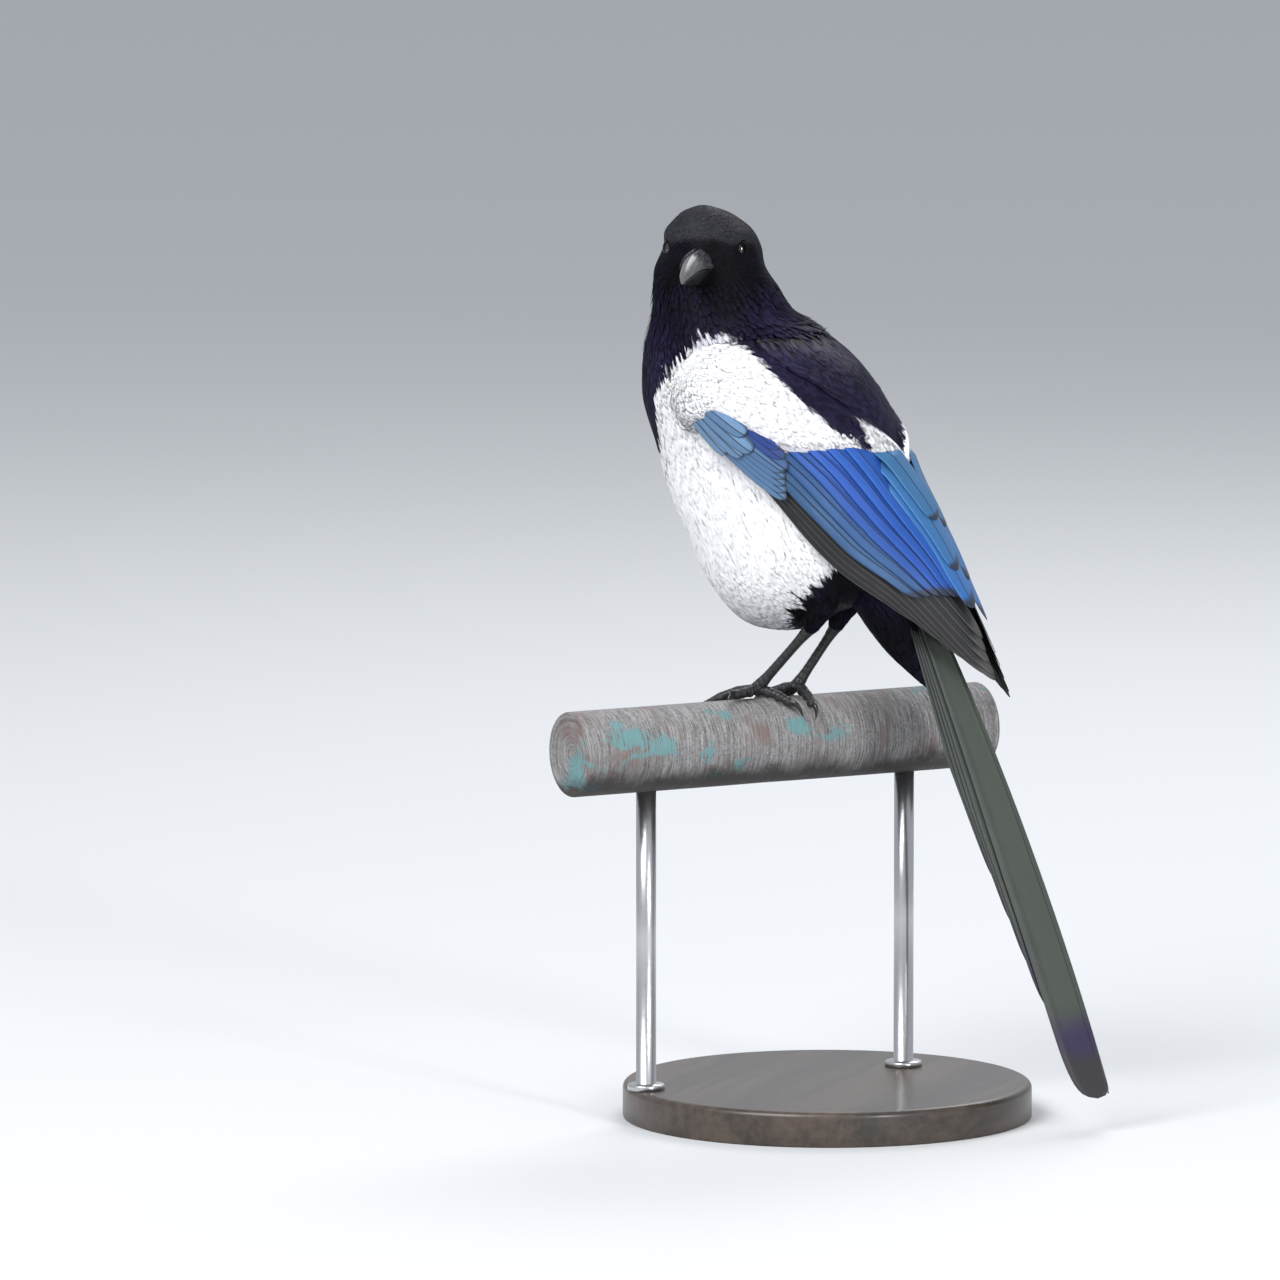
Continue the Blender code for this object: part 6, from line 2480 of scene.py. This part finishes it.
@dataclass(frozen=True)
class BristleFinish:
    """Black stiff bristles, with a painted greyed violet sheen on those that lie over the bill's base."""

    dark: Colour = (0.004, 0.004, 0.006)
    # colour of the painted sheen
    light: Colour = (0.10, 0.095, 0.12)

    def build(self) -> bpy.types.Material:
        """Make the material."""
        book = ShaderBook("bristle")
        grain = book.noise(book.place(), 500.0, 3.0)
        # painted sheen: each bristle's share of the lit greyed violet
        tone = book.attribute("tone") * (0.5 + grain)
        return book.finish(book.mix(tone, self.dark, self.light), 0.5, Specular_IOR_Level=0.3)


@dataclass
class Bristles:
    """Fine stiff bristles that lie forward over the bill's base and below its corners."""

    count: int = 520
    length: float = 11.0
    width: float = 0.45
    seed: int = 12

    def build(self, bill: Bill, finish: bpy.types.Material) -> None:
        """Make the bristles.

        Args:
            bill: The bill that they lie on.
            finish: The bristles' finish.
        """
        chance = np.random.default_rng(self.seed)
        bundle = Bundle("nasal_bristles")
        t = np.linspace(0.0, 1.0, 7)
        upper, lower = bill.halves
        for k in range(self.count):
            below = k % 4 == 3
            half = lower if below else upper
            side = 1.0 if k % 2 else -1.0
            start = chance.uniform(1.0, 13.0)
            height = chance.uniform(0.03, 0.47) if not below else chance.uniform(0.05, 0.5)
            reach = self.length * chance.uniform(0.55, 1.15) * (0.7 if below else 1.0)
            drift = chance.uniform(-0.06, 0.05)
            turn = (height + drift * t) * pi
            turn = turn if side > 0 else pi - turn
            lift = 0.1 + chance.uniform(0.15, 0.55) * np.sin(pi * t * 0.8) + chance.uniform(0.0, 0.35) * t
            path = bill.surface(half, start + reach * t, turn, lift)
            out = unit(bill.surface(half, start + reach * t, turn, lift + 0.3) - path)
            # bristles over the bill get a share of painted sheen, those below it none
            bundle.add_strand(path, out, self.width * chance.uniform(0.7, 1.2),
                              (0.1 + 0.8 * start / 30.0, 0.1 + 0.8 * turn[0] / pi),
                              tone=0.0 if below else chance.uniform(0.3, 1.0))
        register(bundle.build(finish), "black_plumage", "head")


@dataclass(frozen=True)
class ScaleFinish:
    """Bare scaled skin: nearly black, with a wet-looking gloss on each plate and dull seams."""

    name: str = "scaled_skin"
    dark: Colour = (0.005, 0.005, 0.006)
    plate: Colour = (0.016, 0.016, 0.018)
    dust: Colour = (0.060, 0.056, 0.056)

    def build(self) -> bpy.types.Material:
        """Make the material."""
        book = ShaderBook(self.name)
        raised = book.attribute("raised")
        place = book.place()
        cells = book.node("ShaderNodeTexVoronoi", {"feature": "DISTANCE_TO_EDGE"},
                          {"Vector": place, "Scale": 1500.0})
        cloud = book.noise(place, 380.0, 4.0, 0.6)
        colour = book.mix(raised.rise(0.2, 0.9), self.dark, self.plate)
        colour = book.mix(cloud.rise(0.56, 0.78) * 0.5, colour, self.dust)
        normal = book.bump(cells.rise(0.0, 0.12) + cloud * 0.5, 0.00007, 0.7)
        roughness = 0.46 - raised * 0.14 + (cloud - 0.5) * 0.3
        return book.finish(colour, roughness, 0.0, normal)


@dataclass(frozen=True)
class Foot:
    """One leg's places, in mm: its foot along the perch, its ankle and its toes.

    A toe's row is its shift along the perch and its arc round it, then the same for its claw.
    """

    word: str
    at: float
    ankle: tuple[float, float, float]
    toes: tuple[tuple[float, float, float, float], ...]


FEET = (
    Foot("left", -8.8, (13.5, 19.5, 30.5),
         ((-13.0, 3.0, -5.0, 3.0), (-17.0, -18.0, -4.0, -7.0), (-5.0, -20.0, 1.0, -7.0),
          (9.0, 13.0, 4.0, 7.0))),
    Foot("right", 9.7, (-14.5, 20.5, 28.0),
         ((5.0, -20.0, 2.0, -7.0), (-4.0, -23.0, -2.0, -7.0), (-9.0, -14.0, -4.0, -6.0),
          (-0.5, 15.0, -0.3, 7.0))),
)


@dataclass
class Legs:
    """Bare legs with scutes, and toes with pads and claws that grip the perch."""

    toe_radius: float = 2.1
    toe_rest: float = 2.1 * 1.1 + 0.4
    tarsus_radii: tuple = ((-0.04, 2.9), (0.05, 2.6), (0.2, 2.0), (0.45, 1.85), (0.75, 1.9), (0.9, 2.3),
                           (1.0, 2.7), (1.12, 2.4))
    scute: float = 2.7
    toe_scute: float = 1.75
    tarsus_rings: int = 190
    toe_rings: int = 110
    sides: int = 30

    def on_perch(self, along_by: Array, turn: Array, lift: Array) -> Array:
        """Points round the perch.

        Args:
            along_by: mm along it from the point between the feet.
            turn: Angle from its top, towards the bird's front.
            lift: mm off its surface.

        Returns:
            The points.
        """
        along = np.array((cos(PERCH_TURN), sin(PERCH_TURN), 0.0))
        across = np.array((sin(PERCH_TURN), -cos(PERCH_TURN), 0.0))
        along_by, turn, lift = np.broadcast_arrays(along_by, turn, lift)
        reach = (PERCH_RADIUS + lift)[..., None]
        return (along * along_by[..., None] + across * reach * np.sin(turn)[..., None]
                + UP * (reach * np.cos(turn)[..., None] - PERCH_RADIUS))

    def plates(self, run: Array, pitch: float) -> Array:
        """Height of overlapping plates: rising along each one, then dropping at its edge.

        Args:
            run: mm along the limb.
            pitch: Length of a plate.

        Returns:
            Shares from 0 to 1.
        """
        share = (run / pitch) % 1.0
        return smooth_step(0.0, 0.25, share) * (1.0 - smooth_step(0.86, 1.0, share))

    def scaled_tube(self, bundle: "Bundle", path: Array, radii: Array, above: Array, pitch: float,
                    pads: Array) -> None:
        """Add a limb with plates along its upper side and pads below.

        Args:
            bundle: What it is added to.
            path: Points along its middle.
            radii: Radius at each.
            above: Which way the plates face, at each point.
            pitch: Length of a plate.
            pads: Swelling below, in mm, at each point.
        """
        along = unit(np.gradient(path, axis=0))
        across = unit(np.cross(along, above))
        above = np.cross(across, along)
        turns = np.linspace(0, 2 * pi, self.sides, endpoint=False)
        run = np.concatenate(([0.0], np.cumsum(np.linalg.norm(np.diff(path, axis=0), axis=1))))
        front = smooth_step(-0.35, 0.25, np.sin(turns))
        small = smooth_step(0.0, 0.4, np.abs(np.sin(turns * 3.5)))[None] * (1.0 - front)[None]
        plate = self.plates(run[:, None] + 0.35 * np.cos(turns)[None] * pitch, pitch)
        raised = plate * front[None] + small * self.plates(run, pitch * 0.5)[:, None] * 0.6
        below = smooth_step(0.2, -0.6, np.sin(turns))
        reach = radii[:, None] + 0.20 * raised - 0.08 + pads[:, None] * below[None]
        spoke = across[:, None] * np.cos(turns)[None, :, None] + above[:, None] * np.sin(turns)[None, :, None]
        bundle.add_rings(path[:, None] + spoke * reach[..., None], raised=raised)

    def leg(self, foot: Foot, skin: bpy.types.Material, horn: bpy.types.Material) -> None:
        """Make one leg and its claws.

        Args:
            foot: The leg's places.
            skin: The scaled finish.
            horn: The claws' finish.
        """
        node = f"leg_{foot.word}"
        bundle, claws = Bundle(f"{node}_skin"), Bundle(f"{node}_claws")
        hub = self.on_perch(foot.at, 0.0, self.toe_rest + 1.2)
        ankle = np.array(foot.ankle)
        share = np.linspace(-0.04, 1.12, self.tarsus_rings)
        path = hub + (ankle - hub) * share[:, None]
        radii = read_table(self.tarsus_radii, share)[:, 0] * (1.0 - smooth_step(1.06, 1.12, share) * 0.7)
        self.scaled_tube(bundle, path, radii, np.repeat([[0.35, -1.0, 0.0]], len(path), 0), self.scute,
                         0.0 * share)
        t = np.linspace(-0.08, 1.0, self.toe_rings)
        for shift, arc, claw_shift, claw_arc in foot.toes:
            turn = arc * t / (PERCH_RADIUS + self.toe_rest)
            path = self.on_perch(foot.at + shift * t, turn, self.toe_rest + 0.9 * (1 - t))
            above = unit(self.on_perch(foot.at + shift * t, turn, self.toe_rest + 9.0) - path)
            joints = sum(np.exp(-((t - place) / 0.07) ** 2) for place in (0.32, 0.62, 0.9))
            radii = self.toe_radius * (1.06 - 0.30 * t) * (0.93 + 0.10 * joints)
            radii = radii * np.sqrt(np.clip((1.03 - t) / 0.06, 0.05, 1.0))
            self.scaled_tube(bundle, path, radii, above, self.toe_scute, 0.45 * joints)
            self.claw(claws, foot, (shift, arc, claw_shift, claw_arc))
        register(bundle.build(skin), "leg_skin", node)
        register(claws.build(horn), "horn", node)

    def claw(self, claws: "Bundle", foot: Foot, toe: tuple[float, float, float, float]) -> None:
        """Add one curved claw, deeper than wide and ending in a point."""
        shift, arc, claw_shift, claw_arc = toe
        t = np.linspace(0.0, 1.0, 26)
        turn = (arc * 0.93 + claw_arc * t) / (PERCH_RADIUS + self.toe_rest)
        rise = self.toe_rest + 1.9 * np.sin(pi * t ** 0.9) - 1.5 * t
        at = foot.at + shift * 0.93 + claw_shift * t
        path = self.on_perch(at, turn, rise)
        above = unit(self.on_perch(at, turn, rise + 9.0) - path)
        radii = 1.45 * (1.0 - t) ** 0.75 + 0.08
        rings = tube_rings(path, radii * 0.8, 16, 1.25, above)
        along = np.repeat(t[:, None], 16, 1)
        around = np.repeat(np.linspace(0, 1, 16)[None], len(t), 0)
        claws.add_rings(rings, along=along, around=around)

    def build(self, skin: bpy.types.Material, horn: bpy.types.Material) -> None:
        """Make both legs with the scaled finish and the claws' horn."""
        for foot in FEET:
            self.leg(foot, skin, horn)


@dataclass(frozen=True)
class WeatheredFinish:
    """Old grey metal with rings of fine scratches, worn paint, rusty bloom and a painted shade that darkens
    its underside.
    """

    name: str = "weathered_tube"
    grey: Colour = (0.13, 0.125, 0.125)
    pale: Colour = (0.42, 0.41, 0.41)
    rust: Colour = (0.20, 0.14, 0.125)
    paint: Colour = (0.14, 0.29, 0.30)
    # grime in the scratches' grooves, and the colour of the underside's painted shade
    grime_and_shade: Colour = (0.022, 0.020, 0.019)

    def build(self) -> bpy.types.Material:
        """Make the material."""
        book = ShaderBook(self.name)
        run, around = book.attribute("run"), book.attribute("around")
        place = book.place()
        rings = book.node("ShaderNodeCombineXYZ", values={0: run * 1.5, 1: around * 1.3, 2: 0.0})
        scratch = book.noise(rings, 1.0, 6.0, 0.7)
        fine = book.noise(place, 900.0, 4.0, 0.7)
        cloud = book.noise(place, 62.0, 5.0, 0.6)
        other = book.noise(book.scaled(place, (1.0, 1.0, 1.6)), 34.0, 6.0, 0.62)
        colour = book.mix((scratch * 0.9 + fine * 0.45).rise(0.52, 0.88), self.grey, self.pale)
        colour = book.mix((scratch * 0.9 + fine * 0.4).rise(0.56, 0.42) * 0.7, colour, self.grime_and_shade)
        colour = book.mix((cloud + (fine - 0.5) * 0.3).rise(0.50, 0.66) * 0.75, colour, self.rust)
        mark = (other + (scratch - 0.5) * 0.25).rise(0.57, 0.62)
        colour = book.mix(mark * (scratch * 1.3 + fine * 0.3).rise(0.3, 0.9), colour, self.paint)
        # painted shade: darker where the tube faces down, away from the light
        height = book.split(book.attribute("facing", "Vector"))[2]
        under = (-height + (cloud - 0.5) * 0.9 + (fine - 0.5) * 0.5).rise(0.25, 0.75)
        colour = book.mix(under * 0.85, colour, self.grime_and_shade)
        normal = book.bump(scratch + fine * 0.5 + cloud, 0.0006, 1.0)
        return book.finish(colour, 0.52 + fine * 0.3 + mark * 0.1, 0.25 - mark * 0.2, normal)


@dataclass(frozen=True)
class BoardFinish:
    """Dark satin wood with long grain."""

    name: str = "dark_board"
    dark: Colour = (0.020, 0.015, 0.012)
    light: Colour = (0.075, 0.052, 0.038)

    def build(self) -> bpy.types.Material:
        """Make the material."""
        book = ShaderBook(self.name)
        bend = book.noise(book.place(), 14.0, 2.0)
        x, y, z = book.split(book.place())
        lines = book.node("ShaderNodeCombineXYZ",
                          values={0: x * 9.0, 1: (y + bend * 0.012) * 330.0, 2: z * 330.0})
        grain = book.noise(lines, 1.0, 5.0, 0.62)
        broad = book.noise(lines, 0.13, 2.0)
        colour = book.mix((grain * 0.6 + broad * 0.7).rise(0.45, 0.9), self.dark, self.light)
        normal = book.bump(grain, 0.00008, 0.5)
        return book.finish(colour, 0.34 + grain * 0.16, 0.0, normal, Coat_Weight=0.25, Coat_Roughness=0.2)


@dataclass
class Perch:
    """A cut length of round tube, slightly uneven, with its ends plugged."""

    length: float = PERCH_LENGTH
    wall: float = 2.6
    plug_depth: float = 0.8
    round_over: float = 0.7
    rings: int = 240
    sides: int = 120
    seed: int = 8

    def build(self, finish: bpy.types.Material) -> None:
        """Make the tube.

        Args:
            finish: The weathered finish.
        """
        half, radius = self.length / 2, PERCH_RADIUS
        inner = radius - self.wall
        end = [(half - self.plug_depth, 0.4), (half - self.plug_depth, inner - 0.5),
               (half - self.plug_depth, inner - 0.05), (half - 0.35, inner), (half, inner + 0.3),
               (half, radius - self.round_over), (half - 0.2, radius - 0.2)]
        body = np.linspace(half - self.round_over, self.round_over - half, self.rings)
        rows = end + [(place, radius) for place in body] + [(-place, reach) for place, reach in end[::-1]]
        along = np.array((cos(PERCH_TURN), sin(PERCH_TURN), 0.0))
        middle = np.array((0.0, 0.0, -PERCH_RADIUS))
        rings = turned(rows, middle, along, self.sides)
        axis = middle + along * np.array([place for place, _ in rows])[:, None]
        spoke = rings - axis[:, None]
        turns = np.linspace(0, 2 * pi, self.sides, endpoint=False)
        place = np.array([row[0] for row in rows])
        reach = np.array([row[1] for row in rows])
        chance = np.random.default_rng(self.seed)
        dents = np.zeros((len(rows), self.sides))
        for _ in range(26):
            at, turn, wide = chance.uniform(-half, half), chance.uniform(0, 2 * pi), chance.uniform(3, 11)
            gap = (turns - turn + pi) % (2 * pi) - pi
            dents += chance.uniform(-0.09, 0.04) * np.exp(
                -((place[:, None] - at) / wide) ** 2 - (gap[None] * radius / wide) ** 2)
        scale = 1.0 + dents * smooth_step(inner, radius, reach)[:, None] / radius
        rings = axis[:, None] + spoke * scale[..., None]
        bundle = Bundle("perch_tube_piece")
        run = place + (radius - reach) * np.sign(place)
        share = reach[:, None] / radius
        bundle.add_rings(rings, run=np.repeat(run[:, None], self.sides, 1),
                         around=np.abs(turns - pi)[None] * share,
                         facing=unit(spoke) * share[..., None] ** 3)
        register(bundle.build(finish), "perch_tube", "perch")


@dataclass
class Stand:
    """The plain display stand: a round board and two rods with collars."""

    board_radius: float = 82.0
    board_thickness: float = 14.0
    board_bevel: float = 2.5
    rod_radius: float = 4.0
    rod_spacing: float = 120.0
    collar_radius: float = 7.5
    collar_height: float = 2.4
    sides: int = 160

    def board(self, finish: bpy.types.Material) -> None:
        """Make the board with a rounded upper edge."""
        radius, top, bevel = self.board_radius, self.board_thickness, self.board_bevel
        turn = np.linspace(0.0, pi / 2, 9)
        rim = [(top - bevel + bevel * cos(a), radius - bevel + bevel * sin(a)) for a in turn]
        profile = [(top, 0.5), (top, radius * 0.5), (top, radius - bevel - 0.4)] + rim
        profile += [(top * 0.4, radius), (0.6, radius), (0.15, radius - 0.15), (0.0, radius - 0.6),
                    (0.0, radius * 0.5), (0.0, 0.5)]
        base = np.array((0.0, -FEET_FROM_CENTRE, -PERCH_TOP))
        bundle = Bundle("stand_board_piece")
        bundle.add_rings(turned(profile, base, UP, self.sides))
        register(bundle.build(finish), "stand_board", "stand_base")

    def rods(self, finish: bpy.types.Material) -> None:
        """Make the two rods, each with a low collar on the board."""
        along = np.array((cos(PERCH_TURN), sin(PERCH_TURN), 0.0))
        base = UP * (self.board_thickness - PERCH_TOP)
        top = PERCH_TOP - 2 * PERCH_RADIUS + 0.7 - self.board_thickness
        for word, shift in (("front", -1.0), ("back", 1.0)):
            foot = base + along * shift * self.rod_spacing / 2
            radius, collar, low = self.rod_radius, self.collar_radius, self.collar_height
            profile = [(0.0, 0.4), (0.0, collar), (low - 0.7, collar), (low - 0.2, collar - 0.25),
                       (low, collar - 0.8), (low, radius + 0.15), (low + 0.1, radius),
                       (top * 0.5, radius), (top, radius), (top, 0.4)]
            bundle = Bundle(f"stand_rod_{word}_piece")
            bundle.add_rings(turned(profile, foot, UP, 48))
            register(bundle.build(finish), "stand_steel", f"stand_rod_{word}")




# ---- studio


@dataclass(frozen=True)
class Lamp:
    """A soft light, placed by how far it stands towards the viewer, aside and up."""

    name: str
    towards: float
    aside: float
    up: float
    size: tuple[float, float]
    power: float


@dataclass(frozen=True)
class Studio:
    """The camera, the soft lights and the pale floor."""

    azimuth: float = radians(110.0)
    elevation: float = radians(7.0)
    pixel_mm: float = 0.4
    image_size: int = 1280
    feet_pixel: tuple[float, float] = (776.0, 697.0)
    distance: float = 5.0
    sensor: float = 36.0
    floor_radius: float = 30.0
    lamps: tuple[Lamp, ...] = (
        Lamp("key", 1.5, -1.2, 1.7, (1.4, 1.4), 62.0),
        Lamp("fill", 1.6, 1.0, 0.5, (0.26, 0.8), 17.0),
        Lamp("back", -1.4, 0.5, 1.5, (1.2, 1.2), 22.0),
    )

    def axes(self) -> tuple[Vector, Vector, Vector]:
        """Directions to the viewer, to the image's right and up."""
        turn, rise = self.azimuth, self.elevation
        towards = Vector((sin(turn) * cos(rise), -cos(turn) * cos(rise), sin(rise)))
        right = Vector((cos(turn), sin(turn), 0.0))
        return towards, right, towards.cross(right)

    def camera(self) -> None:
        """Set the camera at the photograph's angle and framing."""
        towards, right, up = self.axes()
        step = self.pixel_mm * MM
        centre = self.image_size / 2
        target = (Vector((0.0, FEET_FROM_CENTRE, PERCH_TOP)) * MM
                  - right * (self.feet_pixel[0] - centre) * step
                  + up * (self.feet_pixel[1] - centre) * step)
        data = bpy.data.cameras.new("camera")
        data.sensor_width = self.sensor
        data.lens = self.sensor * self.distance / (self.image_size * step)
        data.clip_start, data.clip_end = 0.1, 200.0
        camera = bpy.data.objects.new("camera", data)
        turn = Matrix((right, up, towards)).transposed().to_4x4()
        turn.translation = target + towards * self.distance
        camera.matrix_world = turn
        bpy.context.scene.collection.objects.link(camera)
        bpy.context.scene.camera = camera

    def lights(self) -> None:
        """Set the soft lights and the even surroundings."""
        _, right, _ = self.axes()
        level = Vector((sin(self.azimuth), -cos(self.azimuth), 0.0))
        middle = Vector((0.0, 0.0, 0.22))
        for lamp in self.lamps:
            data = bpy.data.lights.new(lamp.name, "AREA")
            data.shape, data.energy = "RECTANGLE", lamp.power
            data.size, data.size_y = lamp.size
            light = bpy.data.objects.new(lamp.name, data)
            light.location = middle + level * lamp.towards + right * lamp.aside + Vector((0, 0, lamp.up))
            light.rotation_mode = "QUATERNION"
            light.rotation_quaternion = (middle - light.location).to_track_quat("-Z", "Y")
            bpy.context.scene.collection.objects.link(light)
        world = bpy.data.worlds.new("surroundings")
        world.use_nodes = True
        shade = world.node_tree.nodes["Background"]
        shade.inputs["Color"].default_value = (0.80, 0.84, 0.90, 1.0)
        shade.inputs["Strength"].default_value = 0.68
        bpy.context.scene.world = world
        bpy.context.scene.view_settings.view_transform = "Standard"

    def floor(self, finish: bpy.types.Material) -> None:
        """Lay the plain pale floor."""
        turns = np.linspace(0, 2 * pi, 64, endpoint=False)
        rim = np.stack((np.cos(turns), np.sin(turns), 0 * turns), 1) * self.floor_radius
        mesh = bpy.data.meshes.new("floor")
        mesh.from_pydata([tuple(p) for p in rim], [], [tuple(range(64))])
        as_object(mesh, finish)


def main() -> None:
    """Build the model in order: studio, body, plumage, limbs, perch and stand."""
    logging.basicConfig(level=logging.INFO, format="%(message)s")
    studio = Studio()
    studio.camera()
    studio.lights()
    studio.floor(PlainFinish("floor", (0.62, 0.63, 0.64), 0.8).build())

    plumage = PlumageFinish().build()
    skin = Skin().build(plumage)
    tree = coat_tree()
    tufts = {"plain": TuftShape().variants("plain", 8),
             "silky": TuftShape(strands=4, strand_width=0.2, strand_thickness=0.16).variants("silky", 8),
             "short": TuftShape(strands=5, strand_width=0.16, stations=(0.0, 0.5)).variants("short", 8),
             "loose": TuftShape(strands=5, strand_width=0.15, leaf_width=0.0).variants("loose", 8)}
    Coat().build(skin, tree, tufts, plumage)

    finishes = {finish.name: finish.build() for finish in VANE_FINISHES}
    charts = WingChart(1), WingChart(-1)
    for chart in charts:
        Wing(chart.side, chart).build(finishes)
        Shoulder(chart).build(tree, tufts["silky"], plumage)
    Mantle(*charts).build(tree, tufts["silky"], plumage)
    tail = Tail()
    tail.build(finishes)
    tail.under(tree, tufts["silky"], plumage)

    # Lit and shaded copies of one horn: the upper half's lighter colour is partly a painted reflection of the
    # bright surroundings, the lower half's darker copy is painted shade.
    horn = HornFinish("bill_horn", (0.065, 0.065, 0.068), (0.20, 0.20, 0.21), 0.33).build()
    claw_horn = HornFinish("claw_horn", (0.008, 0.008, 0.009), (0.03, 0.03, 0.032), 0.2).build()
    scales = ScaleFinish().build()
    bill = Bill()
    bill.build(horn, HornFinish("lower_horn", (0.012, 0.012, 0.013), (0.04, 0.04, 0.043), 0.36).build())
    Bristles().build(bill, BristleFinish().build())
    Eyes().build(EyeFinish().build(),
                 PlainFinish("bare_lid", (0.003, 0.003, 0.004), 0.8, specular=0.04).build())
    Legs().build(scales, claw_horn)
    Perch().build(WeatheredFinish().build())
    stand = Stand()
    stand.board(BoardFinish().build())
    stand.rods(PlainFinish("brushed_rod", (0.55, 0.55, 0.56), 0.30, 1.0, 0.4).build())

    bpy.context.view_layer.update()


if __name__ == "__main__":
    main()
